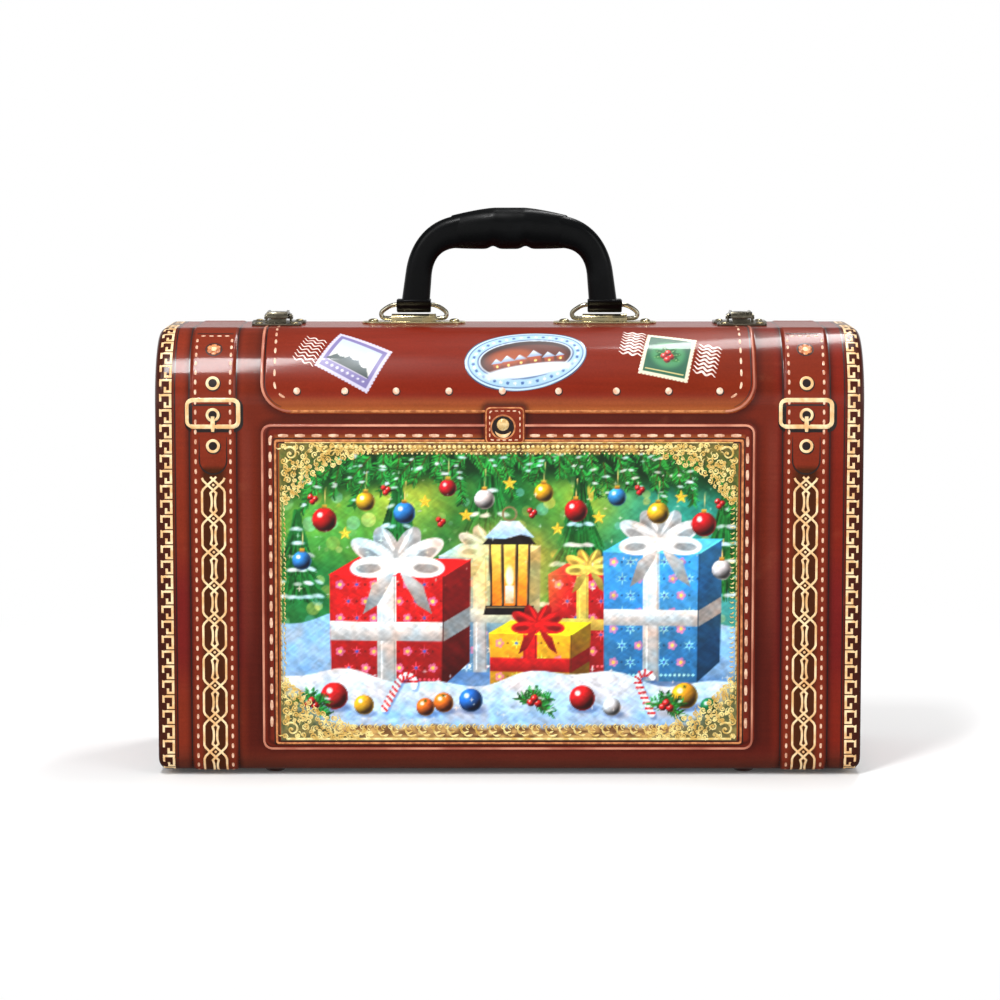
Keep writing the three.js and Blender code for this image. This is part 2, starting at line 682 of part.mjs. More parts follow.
function handleArch() {
  const foot = HANDLE_SPAN / 2 - LEG_INSET;
  const inner = foot - LEG_WIDTH;
  const low = COLLAR_TOP - COLLAR_LAP;
  const grip = GRIP_LENGTH / 2;
  const bend = (from, height) => ([inwards, share]) => [from - inwards, height * share];
  const outerBend = bend(foot, HANDLE_RISE);
  const outerSide = archSide(
    [foot, low], outerBend(OUTER_KNEE), OUTER_PULLS.map(outerBend),
    [grip, gripCrown(grip) - SLEEVE_STEP],
    (x) => gripCrown(x) - SLEEVE_STEP);
  const bridge = HANDLE_RISE - GRIP_THICKNESS + SLEEVE_STEP;
  const innerBend = bend(inner, bridge);
  const innerSide = archSide(
    [inner, low], innerBend(INNER_KNEE), INNER_PULLS.map(innerBend),
    [inner - INNER_SHOULDER, bridge],
    () => bridge + NOTCH_HEIGHT * BRIDGE_LIFT);
  const stations = outerSide.map((outer, i) => ({ outer, inner: innerSide[i], depth: LEG_DEPTH }));
  return sectionLoft(mirrored(stations), ARCH_SQUARENESS);
}

function handleGrip() {
  const stations = [];
  for (let i = 0; i <= GRIP_STEPS; i += 1) {
    const x = (GRIP_LENGTH / 2) * (1 - i / GRIP_STEPS);
    const swell = Math.cos((x / GRIP_LENGTH) * Math.PI * GRIP_SWELL);
    stations.push({
      outer: new THREE.Vector2(x, gripCrown(x)),
      inner: new THREE.Vector2(x, gripUnderside(x)),
      depth: GRIP_DEPTH * swell,
    });
  }
  return sectionLoft(mirrored(stations), GRIP_SQUARENESS);
}

// Collar at each foot in (y, z): a round eye for the ring below, a shoulder for the leg above
function collarOutline() {
  const half = COLLAR_DEPTH / 2;
  const shape = new THREE.Shape();
  shape.absarc(0, 0, COLLAR_EYE_RADIUS, Math.PI, 2 * Math.PI);
  shape.lineTo(half, COLLAR_TOP * COLLAR_SHOULDER);
  shape.lineTo(half, COLLAR_TOP);
  shape.lineTo(-half, COLLAR_TOP);
  shape.lineTo(-half, COLLAR_TOP * COLLAR_SHOULDER);
  return shape;
}

function handleBody() {
  const collar = alongX(collarOutline(), COLLAR_WIDTH, {
    bevelThickness: COLLAR_BEVEL, bevelSize: COLLAR_BEVEL, bevelOffset: -COLLAR_BEVEL,
    bevelSegments: 1,
  });
  const bore = barX(RING_WIRE_RADIUS + RUNNING_GAP, COLLAR_WIDTH * 2);
  const foot = less(collar, bore);
  return joined(handleArch(), handleGrip(),
    foot.translate([-PLATE_X, 0, 0]), foot.translate([PLATE_X, 0, 0]));
}

// Where the lever carries the link's pin, from the lever's own pivot
const THROW_ANGLE = THREE.MathUtils.degToRad(LEVER_THROW_ANGLE);
const LINK_PIVOT_Y = LEVER_PIVOT_Y + LEVER_THROW * Math.cos(THROW_ANGLE);
const LINK_PIVOT_Z = LEVER_PIVOT_Z + LEVER_THROW * Math.sin(THROW_ANGLE);

// Latch base: a plate with two ears for the lever's pin
function latchBase() {
  const half = LATCH_BASE_WIDTH / 2;
  const back = LATCH_BASE_FRONT + LATCH_BASE_DEPTH;
  const plate = alongZ(roundedRectangle(-half, LATCH_BASE_FRONT, half, back, LATCH_CORNER),
    0, LATCH_PLATE);
  const ear = new THREE.Shape();
  ear.absarc(LEVER_PIVOT_Y, LEVER_PIVOT_Z, EAR_RADIUS, 0, Math.PI);
  ear.lineTo(LEVER_PIVOT_Y - EAR_RADIUS, LATCH_PLATE / 2);
  ear.lineTo(LEVER_PIVOT_Y + EAR_RADIUS, LATCH_PLATE / 2);
  const holes = [-BASE_RIVET_X, BASE_RIVET_X].map((x) =>
    barZ(SMALL_RIVET.shank + HOLE_CLEARANCE, -1, LATCH_PLATE + 1, x, BASE_RIVET_Y));
  const offset = latchEarInside() + EAR_THICKNESS / 2;
  const blade = alongX(ear, EAR_THICKNESS);
  return less(
    joined(plate, blade.translate([-offset, 0, 0]), blade.translate([offset, 0, 0])),
    barX(LATCH_PIN_RADIUS + HOLE_CLEARANCE, LATCH_BASE_WIDTH, 0, LEVER_PIVOT_Y, LEVER_PIVOT_Z),
    ...holes);
}

const linkInside = () => LEVER_WIDTH / 2 + RUNNING_GAP;
const latchEarInside = () => linkInside() + LINK_ARM + RUNNING_GAP;

// Lever: two knuckles, then a tail that lifts clear of the plate and ends in a wider finger tab
function latchLever() {
  const end = LEVER_PIVOT_Y + LEVER_LENGTH;
  const [tailLow, tailHigh] = LEVER_TAIL.map((rise) => LEVER_PIVOT_Z + rise);
  const [rootLow, rootHigh] = LEVER_TAB_ROOT.map((rise) => LEVER_PIVOT_Z + rise);
  const side = new THREE.Shape();
  side.absarc(LEVER_PIVOT_Y, LEVER_PIVOT_Z, LEVER_KNUCKLE_RADIUS, Math.PI / 2, 1.5 * Math.PI);
  side.lineTo(LINK_PIVOT_Y, LINK_PIVOT_Z - LINK_EYE_RADIUS);
  side.lineTo(LINK_PIVOT_Y + LINK_EYE_RADIUS, LINK_PIVOT_Z - LINK_EYE_RADIUS * LEVER_HEEL);
  side.lineTo(end, tailLow);
  side.lineTo(end, tailHigh);
  side.lineTo(LINK_PIVOT_Y + LINK_EYE_RADIUS, LINK_PIVOT_Z + LINK_EYE_RADIUS * LEVER_CROWN);
  const tab = new THREE.Shape();
  tab.moveTo(end - LEVER_TAB_LENGTH, rootLow);
  tab.lineTo(end, tailLow);
  tab.lineTo(end, tailHigh);
  tab.lineTo(end - LEVER_TAB_LENGTH, rootHigh);
  const bore = LATCH_PIN_RADIUS + HOLE_CLEARANCE;
  return less(
    alongX(side, LEVER_WIDTH).add(alongX(tab, LEVER_TAB_WIDTH)),
    barX(bore, LATCH_BASE_WIDTH, 0, LEVER_PIVOT_Y, LEVER_PIVOT_Z),
    barX(bore, LATCH_BASE_WIDTH, 0, LINK_PIVOT_Y, LINK_PIVOT_Z));
}

// Link: two arms over the lever's pivot, a bridge across the seam and a nose for the keeper lip
function latchLink() {
  const underside = LINK_TOP - LINK_PLATE;
  const noseBack = -(LIP_Y + RUNNING_GAP);
  const noseFront = noseBack - NOSE_THICKNESS;
  const arm = new THREE.Shape();
  arm.absarc(LINK_PIVOT_Y, LINK_PIVOT_Z, LINK_EYE_RADIUS, 0, Math.PI, true);
  arm.lineTo(LINK_PIVOT_Y - LINK_EYE_RADIUS * LINK_HEEL, underside);
  arm.lineTo(noseBack, underside);
  arm.lineTo(noseFront, underside);
  arm.lineTo(noseFront + LINK_PLATE / 2, LINK_TOP);
  arm.lineTo(LINK_PIVOT_Y - LINK_EYE_RADIUS / 2, LINK_TOP);
  const nose = new THREE.Shape();
  nose.moveTo(noseFront, LIP_TOP + NOSE_LIFT);
  nose.lineTo(noseBack, LIP_TOP + NOSE_LIFT);
  nose.lineTo(noseBack, underside);
  nose.lineTo(LINK_BRIDGE_BACK, underside);
  nose.lineTo(LINK_BRIDGE_BACK, LINK_TOP);
  nose.lineTo(noseFront + LINK_PLATE / 2, LINK_TOP);
  nose.lineTo(noseFront, underside);
  const offset = linkInside() + LINK_ARM / 2;
  const blade = alongX(arm, LINK_ARM);
  return less(
    joined(blade.translate([-offset, 0, 0]), blade.translate([offset, 0, 0]),
      alongX(nose, 2 * (linkInside() + LINK_ARM))),
    barX(LATCH_PIN_RADIUS + HOLE_CLEARANCE, LATCH_BASE_WIDTH, 0, LINK_PIVOT_Y, LINK_PIVOT_Z));
}

// Strike: a plate on the lid with the keeper lip turned up from it
function latchStrike() {
  const half = STRIKE_WIDTH / 2;
  const outline = roundedRectangle(-half, -STRIKE_BACK - STRIKE_DEPTH, half, -STRIKE_BACK,
    LATCH_CORNER);
  const lip = block([-LIP_WIDTH / 2, -LIP_Y, LATCH_PLATE / 2],
    [LIP_WIDTH / 2, LIP_THICKNESS - LIP_Y, LIP_TOP]);
  const holes = [-STRIKE_RIVET_X, STRIKE_RIVET_X].map((x) =>
    barZ(SMALL_RIVET.shank + HOLE_CLEARANCE, -1, LATCH_PLATE + 1, x, -STRIKE_RIVET_Y));
  return less(alongZ(outline, 0, LATCH_PLATE).add(lip), ...holes);
}

// Assembly
const tin = new THREE.Group();

function place(group, name, geometry, material, position = [0, 0, 0]) {
  const shape = geometry.isBufferGeometry ? geometry : toGeometry(geometry);
  const mesh = new THREE.Mesh(shape, material);
  mesh.name = name;
  mesh.position.set(...position);
  group.add(mesh);
}

function placeRivets(group, names, sites, rivet, thickness, height) {
  const grip = thickness + WALL + 3 * SEAT_GAP;
  sites.forEach(([x, y], i) => {
    place(group, names[i], rivetGeometry(rivet, grip), steelPin,
      [x, y, height + thickness + 2 * SEAT_GAP]);
  });
}

place(tin, 'front_shell', frontShell(), printedTin);
place(tin, 'back_shell', backShell(), printedTin);
place(tin, 'rim_band', rimBand(), bareTin);

for (const [side, sign] of [['left', -1], ['right', 1]]) {
  const hinge = new THREE.Group();
  hinge.position.set(sign * HINGE_X, 0, HINGE_AXIS_Z);
  const barrels = hingeBarrels();
  place(hinge, `${side}_hinge_lid_leaf`, hingeLeaf(barrels.lid), steelPin);
  place(hinge, `${side}_hinge_body_leaf`, hingeLeaf(barrels.body).mirror([0, 1, 0]), steelPin);
  place(hinge, `${side}_hinge_pin`, headedPin(HINGE_PIN_RADIUS, HINGE_PIN_HEAD_RADIUS,
    HINGE_PIN_HEAD, HINGE_WIDTH + 2 * SEAT_GAP), steelPin);
  tin.add(hinge);

  const latch = new THREE.Group();
  latch.position.set(sign * LATCH_X, 0, CASE_TOP + SEAT_GAP);
  place(latch, `${side}_latch_base`, latchBase(), brassPlate);
  place(latch, `${side}_latch_lever`, latchLever(), brassPlate);
  place(latch, `${side}_latch_link`, latchLink(), brassPlate);
  place(latch, `${side}_latch_strike`, latchStrike(), brassPlate);
  const earOutside = latchEarInside() + EAR_THICKNESS;
  place(latch, `${side}_lever_pin`, headedPin(LATCH_PIN_RADIUS, LATCH_PIN_HEAD_RADIUS,
    LATCH_PIN_HEAD, 2 * earOutside + 4 * SEAT_GAP), steelPin, [0, LEVER_PIVOT_Y, LEVER_PIVOT_Z]);
  place(latch, `${side}_link_pin`, headedPin(LATCH_PIN_RADIUS, LATCH_PIN_HEAD_RADIUS,
    LATCH_PIN_HEAD, 2 * (linkInside() + LINK_ARM) + 2 * RUNNING_GAP), steelPin,
  [0, LINK_PIVOT_Y, LINK_PIVOT_Z]);
  tin.add(latch);

  place(tin, `${side}_handle_plate`, handlePlate(), brassPlate,
    [sign * PLATE_X, PLATE_Y, CASE_TOP + SEAT_GAP]);
  place(tin, `${side}_handle_ring`, handleRing(), brassPlate,
    [sign * PLATE_X, PLATE_Y, CASE_TOP + SEAT_GAP + RING_AXIS_Z]);
}

place(tin, 'handle', handleBody(), blackPlastic,
  [0, PLATE_Y, CASE_TOP + SEAT_GAP + RING_AXIS_Z + RING_RISE]);

const pairs = (label) => ['left', 'right'].flatMap((side) =>
  ['a', 'b'].map((end) => `${side}_${label}_${end}`));
placeRivets(tin, pairs('plate_rivet'), plateRivetSites, LARGE_RIVET, PLATE_THICKNESS, CASE_TOP);
placeRivets(tin, pairs('base_rivet'), baseRivetSites, SMALL_RIVET, LATCH_PLATE, CASE_TOP);
placeRivets(tin, pairs('strike_rivet'), strikeRivetSites, SMALL_RIVET, LATCH_PLATE, CASE_TOP);

// The hinges' rivets hang head down under the bottom
for (const [label, side] of [['lid_hinge_rivet', -1], ['body_hinge_rivet', 1]]) {
  const under = new THREE.Group();
  under.rotation.x = Math.PI;
  placeRivets(under, pairs(label), bottomRivetSites(-side), SMALL_RIVET, LEAF_THICKNESS,
    -CASE_BOTTOM);
  tin.add(under);
}

export default tin;
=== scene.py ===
"""Suitcase gift tin in Blender: printed tinplate shells, a moulded handle on wire rings,
two draw latches across the top seam and a pair of bottom hinges.

Classes hold their sizes in millimetres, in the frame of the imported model: +X right,
+Y to the back, +Z up, the floor at z = 0 and the seam between the halves at y = 0.
Places on the sheet are given by x and by s, the length from the seam over the top edge.
"""

from __future__ import annotations

import logging
import math
from dataclasses import dataclass, field
from enum import Enum
from typing import Callable, ClassVar, Iterable, Sequence

import bmesh
import bpy
import numpy as np
from mathutils import Matrix, Vector


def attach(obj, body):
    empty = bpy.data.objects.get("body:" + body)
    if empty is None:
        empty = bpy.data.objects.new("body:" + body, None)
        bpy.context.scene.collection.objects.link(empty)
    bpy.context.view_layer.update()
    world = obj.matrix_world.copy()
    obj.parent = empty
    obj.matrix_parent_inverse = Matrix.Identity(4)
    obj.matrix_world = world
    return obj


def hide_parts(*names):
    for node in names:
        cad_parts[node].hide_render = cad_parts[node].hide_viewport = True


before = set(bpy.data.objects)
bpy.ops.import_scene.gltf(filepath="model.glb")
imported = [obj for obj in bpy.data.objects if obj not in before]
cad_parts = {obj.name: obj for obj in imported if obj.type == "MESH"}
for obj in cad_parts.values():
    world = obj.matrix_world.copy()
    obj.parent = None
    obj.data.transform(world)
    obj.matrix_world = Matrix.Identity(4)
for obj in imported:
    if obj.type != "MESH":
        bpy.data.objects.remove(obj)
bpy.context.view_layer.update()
MM = 0.001
Array = np.ndarray
Material = bpy.types.Material
Point = tuple[float, float]
Place = tuple[float, float, float]
Colour = tuple[float, float, float]
Box = tuple[float, float, float, float]
WHITE = (255, 255, 255)
log = logging.getLogger("gift_tin")


def display_light(share: Array | float) -> Array:
    """Linear light of display shares between 0 and 1."""
    return np.where(share <= 0.04045, share / 12.92, ((share + 0.055) / 1.055) ** 2.4)


def linear(red: float, green: float, blue: float) -> Colour:
    """A colour given in display bytes, as linear light."""
    return tuple(float(display_light(value / 255)) for value in (red, green, blue))


def heading(degrees: float) -> Point:
    """Cosine and sine of an angle."""
    return math.cos(math.radians(degrees)), math.sin(math.radians(degrees))


def full_turn(steps: int) -> Array:
    """Angles evenly spaced round a circle."""
    return np.linspace(0, 2 * math.pi, steps, endpoint=False)


def unit(vectors: Array) -> Array:
    """Vectors made one long."""
    return vectors / np.maximum(np.linalg.norm(vectors, axis=-1, keepdims=True), 1e-6)


def path_lengths(points: Array) -> Array:
    """Length of a path up to each of its points."""
    return np.concatenate([[0], np.cumsum(np.linalg.norm(np.diff(points, axis=0), axis=1))])


def smooth(value: Array) -> Array:
    """A soft step from 0 to 1 as the value goes from 0 to 1."""
    share = np.clip(value, 0, 1)
    return share * share * (3 - 2 * share)


# Shader maths


@dataclass(frozen=True)
class Value:
    """A number that varies over a surface, written in Python expressions."""

    shader: Shader
    socket: bpy.types.NodeSocket | None

    def _math(self, operation: str, first: object, second: object = 0.0) -> Value:
        """One Math node."""
        return self.shader.node("ShaderNodeMath", {"operation": operation}, {0: first, 1: second})

    def __add__(self, other: Value | float) -> Value:
        """Sum."""
        return self._math("ADD", self, other)

    def __radd__(self, other: float) -> Value:
        """Sum with a number on the left."""
        return self._math("ADD", other, self)

    def __sub__(self, other: Value | float) -> Value:
        """Difference."""
        return self._math("SUBTRACT", self, other)

    def __rsub__(self, other: float) -> Value:
        """Difference from a number on the left."""
        return self._math("SUBTRACT", other, self)

    def __mul__(self, other: Value | float) -> Value:
        """Product."""
        return self._math("MULTIPLY", self, other)

    def __rmul__(self, other: float) -> Value:
        """Product with a number on the left."""
        return self._math("MULTIPLY", other, self)

    def step(self, low: float, high: float) -> Value:
        """A soft step from 0 at low to 1 at high."""
        return self.shader.node(
            "ShaderNodeMapRange", {"interpolation_type": "SMOOTHSTEP"},
            {"Value": self, "From Min": low, "From Max": high})


class Shader:
    """The node tree of a material or of the room."""

    def __init__(self, name: str, room: bool = False) -> None:
        """An empty tree.

        Args:
            name: the name of the material or the room.
            room: it is the room around the object.
        """
        self.owner = (bpy.data.worlds if room else bpy.data.materials).new(name)
        self.owner.use_nodes = True
        self.tree = self.owner.node_tree
        self.tree.nodes.clear()

    def node(self, kind: str, settings: dict | None = None, inputs: dict | None = None,
             output: int | str = 0) -> Value:
        """Any node.

        Args:
            kind: the node's type.
            settings: what is set on the node first.
            inputs: numbers, colours or other nodes' values, by socket.
            output: the socket that is wanted.

        Returns:
            The output as a value.
        """
        made = self.tree.nodes.new(kind)
        for key, setting in (settings or {}).items():
            setattr(made, key, setting)
        for key, given in (inputs or {}).items():
            if isinstance(given, Value):
                self.tree.links.new(given.socket, made.inputs[key])
            elif isinstance(given, tuple) and made.inputs[key].type == "RGBA":
                made.inputs[key].default_value = (*given[:3], 1)
            else:
                made.inputs[key].default_value = given
        return Value(self, made.outputs[output] if made.outputs else None)

    def mix(self, share: Value | float, first: object, second: object,
            blend: str = "MIX") -> Value:
        """A Mix node on colours.

        Args:
            share: how much of the second colour.
            first: colour or value.
            second: colour or value.
            blend: the blend type.

        Returns:
            The mixed colour.
        """
        return self.node("ShaderNodeMix", {"data_type": "RGBA", "blend_type": blend},
                         {0: share, 6: first, 7: second}, 2)

    def place(self, stretch: Place = (1, 1, 1)) -> Value:
        """The object's own coordinates in metres, stretched."""
        raw = self.node("ShaderNodeTexCoord", output="Object")
        return self.node("ShaderNodeVectorMath", {"operation": "MULTIPLY"},
                         {0: raw, 1: stretch})

    def noise(self, scale: float, detail: float = 2,
              stretch: Place = (1, 1, 1)) -> Value:
        """Cloudy noise between about 0.2 and 0.8; scale is in marks per metre."""
        return self.node("ShaderNodeTexNoise", inputs={
            "Vector": self.place(stretch), "Scale": scale, "Detail": detail})

    def seen(self) -> Value:
        """One for what the camera sees itself."""
        return self.node("ShaderNodeLightPath", output="Is Camera Ray")

    def mirrored(self) -> Value:
        """One for what is seen in metal, lacquer or glass."""
        return (self.node("ShaderNodeLightPath", output="Is Glossy Ray")
                + self.node("ShaderNodeLightPath", output="Is Transmission Ray"))

    def bump(self, height: Value, depth: float, strength: float = 1) -> Value:
        """A Bump node; depth is in millimetres."""
        return self.node("ShaderNodeBump", inputs={
            "Height": height, "Distance": depth * MM, "Strength": strength})

    def finish(self, inputs: dict) -> Material:
        """Close the tree with a Principled node.

        Args:
            inputs: the Principled node's values, by socket name.

        Returns:
            The material.
        """
        surface = self.node("ShaderNodeBsdfPrincipled", inputs=inputs)
        self.node("ShaderNodeOutputMaterial", inputs={"Surface": surface})
        return self.owner


# Finishes


@dataclass(frozen=True)
class PrintedLeather:
    """Lacquered print of polished leather, its tones and painted shade held in a colour attribute.
    """

    attribute: str = "tone"
    lacquer: float = 0.3
    roughness: float = 0.3

    def material(self) -> Material:
        """The material."""
        shader = Shader("printed_leather")
        tone = shader.node("ShaderNodeVertexColor", {"layer_name": self.attribute})
        cloud = shader.noise(22, 4)
        grain = shader.noise(1400, 3)
        streaks = shader.noise(520, 3, (0.07, 1, 1))
        creases = shader.node("ShaderNodeTexVoronoi", {"feature": "DISTANCE_TO_EDGE"}, {
            "Vector": shader.place(), "Scale": 620.0})
        pores = creases.step(0.0, 0.16)
        level = 0.44 + 0.42 * cloud + 0.3 * streaks + 0.26 * grain + 0.07 * pores
        colour = shader.mix(1.0, tone, level, "MULTIPLY")
        rub = shader.noise(90, 6).step(0.62, 0.78)
        colour = shader.mix(rub * 0.06, colour, linear(196, 120, 80))
        waves = shader.noise(26, 1)
        sheet = shader.bump(waves, 0.35, 0.5)
        grains = shader.node("ShaderNodeBump", inputs={
            "Height": grain + 0.4 * pores, "Distance": 0.02 * MM, "Strength": 0.5,
            "Normal": sheet})
        return shader.finish({
            "Base Color": colour, "Metallic": 0.0,
            "Roughness": self.roughness + 0.16 * cloud + 0.08 * rub,
            "Coat Weight": self.lacquer, "Coat Roughness": 0.1,
            "Specular IOR Level": 0.12, "Normal": grains})


@dataclass(frozen=True)
class Ink:
    """One printed colour under lacquer, a little uneven."""

    name: str
    colour: Colour
    shade: Colour
    marks: float = 420
    roughness: float = 0.34
    metallic: float = 0.0
    lacquer: float = 0.35

    def material(self) -> Material:
        """The material."""
        shader = Shader(self.name)
        patch = shader.noise(self.marks, 3)
        fine = shader.noise(self.marks * 5, 2)
        colour = shader.mix(patch.step(0.34, 0.66), self.shade, self.colour)
        return shader.finish({
            "Base Color": colour, "Metallic": self.metallic,
            "Roughness": self.roughness + 0.14 * fine,
            "Coat Weight": self.lacquer, "Coat Roughness": 0.08,
            "Normal": shader.bump(fine, 0.02, 0.5)})


@dataclass(frozen=True)
class PaintedPicture:
    """Full-colour lithograph under gloss lacquer, its colours held in a colour attribute."""

    name: str
    attribute: str = "tone"

    def material(self) -> Material:
        """The material."""
        shader = Shader(self.name)
        tone = shader.node("ShaderNodeVertexColor", {"layer_name": self.attribute})
        screen = shader.noise(2600, 1)
        cloud = shader.noise(40, 2)
        colour = shader.mix(1.0, tone, 0.9 + 0.2 * screen, "MULTIPLY")
        return shader.finish({
            "Base Color": colour, "Roughness": 0.3 + 0.1 * cloud,
            "Coat Weight": 0.5, "Coat Roughness": 0.06,
            "Normal": shader.bump(shader.noise(26, 1), 0.3, 0.35)})


@dataclass(frozen=True)
class PlatedMetal:
    """Thin bright plating that dulls in patches and shows fine rubbing marks."""

    name: str
    bright: Colour
    dull: Colour
    roughness: float = 0.2
    metallic: float = 1.0
    rubbing: float = 0.5
    mottle: float = 1.0

    def material(self) -> Material:
        """The material."""
        shader = Shader(self.name)
        patches = shader.noise(160, 5).step(0.42, 0.68) * self.mottle
        marks = shader.noise(900, 4, (1, 0.08, 0.3))
        scratches = marks.step(0.6, 0.72)
        colour = shader.mix(patches * 0.7, self.bright, self.dull)
        return shader.finish({
            "Base Color": colour, "Metallic": self.metallic - 0.12 * patches,
            "Roughness": self.roughness + 0.2 * patches + 0.14 * scratches,
            "Normal": shader.bump(marks + 0.3 * patches, 0.02, self.rubbing)})


@dataclass(frozen=True)
class MouldedPlastic:
    """Black plastic with a fine moulded grain and a polished sheen on the rounds."""

    colour: Colour
    worn: Colour

    def material(self) -> Material:
        """The material."""
        shader = Shader("moulded_plastic")
        grain = shader.noise(1900, 3)
        cloud = shader.noise(70, 4)
        pores = shader.node("ShaderNodeTexVoronoi", {"feature": "F1"}, {
            "Vector": shader.place(), "Scale": 1150.0})
        colour = shader.mix(cloud.step(0.45, 0.75) * 0.5, self.colour, self.worn)
        return shader.finish({
            "Base Color": colour, "Roughness": 0.24 + 0.14 * cloud + 0.08 * grain,
            "Specular IOR Level": 0.1, "Coat Weight": 0.04, "Coat Roughness": 0.1,
            "Normal": shader.bump(grain + 0.6 * pores, 0.04, 0.25)})


@dataclass(frozen=True)
class PlainGround:
    """The pale floor: white to the camera and in reflections, with the object's shadow kept."""

    colour: Colour = (0.9, 0.9, 0.9)
    near: float = 0.05
    dim: float = 0.1
    footprint: Place = (0.152, 0.05, 0.0)

    def material(self) -> Material:
        """The material."""
        shader = Shader("plain_ground")
        cloud = shader.noise(3, 2)
        colour = shader.mix(cloud * 0.1, self.colour, (0.86, 0.86, 0.86))
        matt = shader.node("ShaderNodeBsdfDiffuse", inputs={"Color": colour})
        place = shader.place((1, 1, 0))
        away = shader.node("ShaderNodeVectorMath", {"operation": "LENGTH"}, {0: place}, "Value")
        beside = place
        for operation, vector, output in (("ABSOLUTE", (0.0, 0.0, 0.0), "Vector"),
                                          ("SUBTRACT", self.footprint, "Vector"),
                                          ("MAXIMUM", (0.0, 0.0, 0.0), "Vector"),
                                          ("LENGTH", (0.0, 0.0, 0.0), "Value")):
            beside = shader.node("ShaderNodeVectorMath", {"operation": operation},
                                 {0: beside, 1: vector}, output)
        seen, mirrored = shader.seen(), shader.mirrored()
        level = seen + mirrored * (self.dim + (1 - self.dim) * away.step(1.2, 3.0))
        bright = shader.node("ShaderNodeEmission", inputs={
            "Color": (1.0, 1.0, 1.0), "Strength": level})
        share = seen * (self.near + (1 - self.near) * beside.step(0.01, 0.4)) + mirrored
        surface = shader.node("ShaderNodeMixShader", inputs={0: share, 1: matt, 2: bright})
        shader.node("ShaderNodeOutputMaterial", inputs={"Surface": surface})
        return shader.owner


# Meshes


def add_piece(name: str, corners: Array, faces: Sequence[Sequence[int]],
              materials: Sequence[Material], body: str,
              nodes: Sequence[str] = (), sharp: float = 40,
              face_material: Array | None = None,
              tones: Array | None = None) -> bpy.types.Object:
    """Make one piece of the object.

    Args:
        name: the piece's name.
        corners: places in millimetres.
        faces: corner numbers of each face.
        materials: the materials, in the order of the material numbers.
        body: the body that carries it.
        nodes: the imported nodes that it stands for.
        sharp: edges that turn by more degrees than this stay sharp.
        face_material: a material number for each face.
        tones: a linear colour for each corner, kept as the attribute "tone".

    Returns:
        The new object.
    """
    mesh = bpy.data.meshes.new(name)
    mesh.from_pydata((np.asarray(corners) * MM).tolist(), [], faces)
    for material in materials:
        mesh.materials.append(material)
    if face_material is not None:
        mesh.polygons.foreach_set("material_index", np.asarray(face_material, np.int32))
    if tones is not None:
        attribute = mesh.color_attributes.new("tone", "FLOAT_COLOR", "POINT")
        filled = np.ones((len(tones), 4), np.float32)
        filled[:, :3] = tones
        attribute.data.foreach_set("color", filled.ravel())
    mesh.shade_smooth()
    mesh.set_sharp_from_angle(angle=math.radians(sharp))
    mesh.update()
    piece = bpy.data.objects.new(name, mesh)
    bpy.context.scene.collection.objects.link(piece)
    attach(piece, body)
    if nodes:
        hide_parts(*nodes)
    log.info("%s: %d faces on %s", name, len(mesh.polygons), body)
    return piece


class Solids:
    """Collects corners and faces of several shapes that become one piece."""

    def __init__(self, flip: bool = False) -> None:
        """Nothing yet; flip turns a loft's faces the other way round."""
        self.corners: list[Array] = []
        self.faces: list[tuple[int, ...]] = []
        self.count = 0
        self.flip = flip

    def add(self, corners: Iterable, faces: Iterable[Sequence[int]]) -> None:
        """Add one shape.

        Args:
            corners: places in millimetres.
            faces: corner numbers within the shape.
        """
        block = np.asarray(corners, float).reshape(-1, 3)
        self.corners.append(block)
        self.faces.extend(tuple(i + self.count for i in face) for face in faces)
        self.count += len(block)

    def loft(self, rings: Array, closed_rings: bool = True, closed_path: bool = False,
             caps: bool = True) -> None:
        """Skin a row of rings.

        Args:
            rings: places, as (ring, point of the ring, 3).
            closed_rings: each ring's last point joins its first.
            closed_path: the last ring joins the first.
            caps: close both ends.
        """
        rows, around = rings.shape[:2]
        way = -1 if self.flip else 1
        faces = []
        for i in range(rows if closed_path else rows - 1):
            j = (i + 1) % rows
            for k in range(around if closed_rings else around - 1):
                m = (k + 1) % around
                others = (i * around + m, j * around + m, j * around + k)
                faces.append((i * around + k, *others[::way]))
        if caps and not closed_path:
            faces.append(tuple(range(around))[::-way])
            faces.append(tuple(range((rows - 1) * around, rows * around))[::way])
        self.add(rings, faces)

    def lathe(self, profile: Sequence[Point], centre: Place, sides: int = 32,
              turn: Matrix | None = None) -> None:
        """Turn a profile of (radius, height) about an axis.

        Args:
            profile: from one end of the axis to the other; end radii may be 0.
            centre: the place of height 0.
            sides: steps around.
            turn: from +Z to the wanted axis.
        """
        turns = full_turn(sides)
        rings = np.array([[(max(r, 1e-4) * math.cos(t), max(r, 1e-4) * math.sin(t), h)
                           for t in turns] for r, h in profile])
        if turn is not None:
            rings = rings @ np.array(turn).T
        self.loft(rings + np.asarray(centre))

    def piece(self, name: str, material: Material, body: str, slot: str,
              nodes: Sequence[str] = (), sharp: float = 40) -> bpy.types.Object:
        """Make the piece of what was collected."""
        return add_piece(name, np.vstack(self.corners), self.faces, [material], body,
                         nodes, sharp)


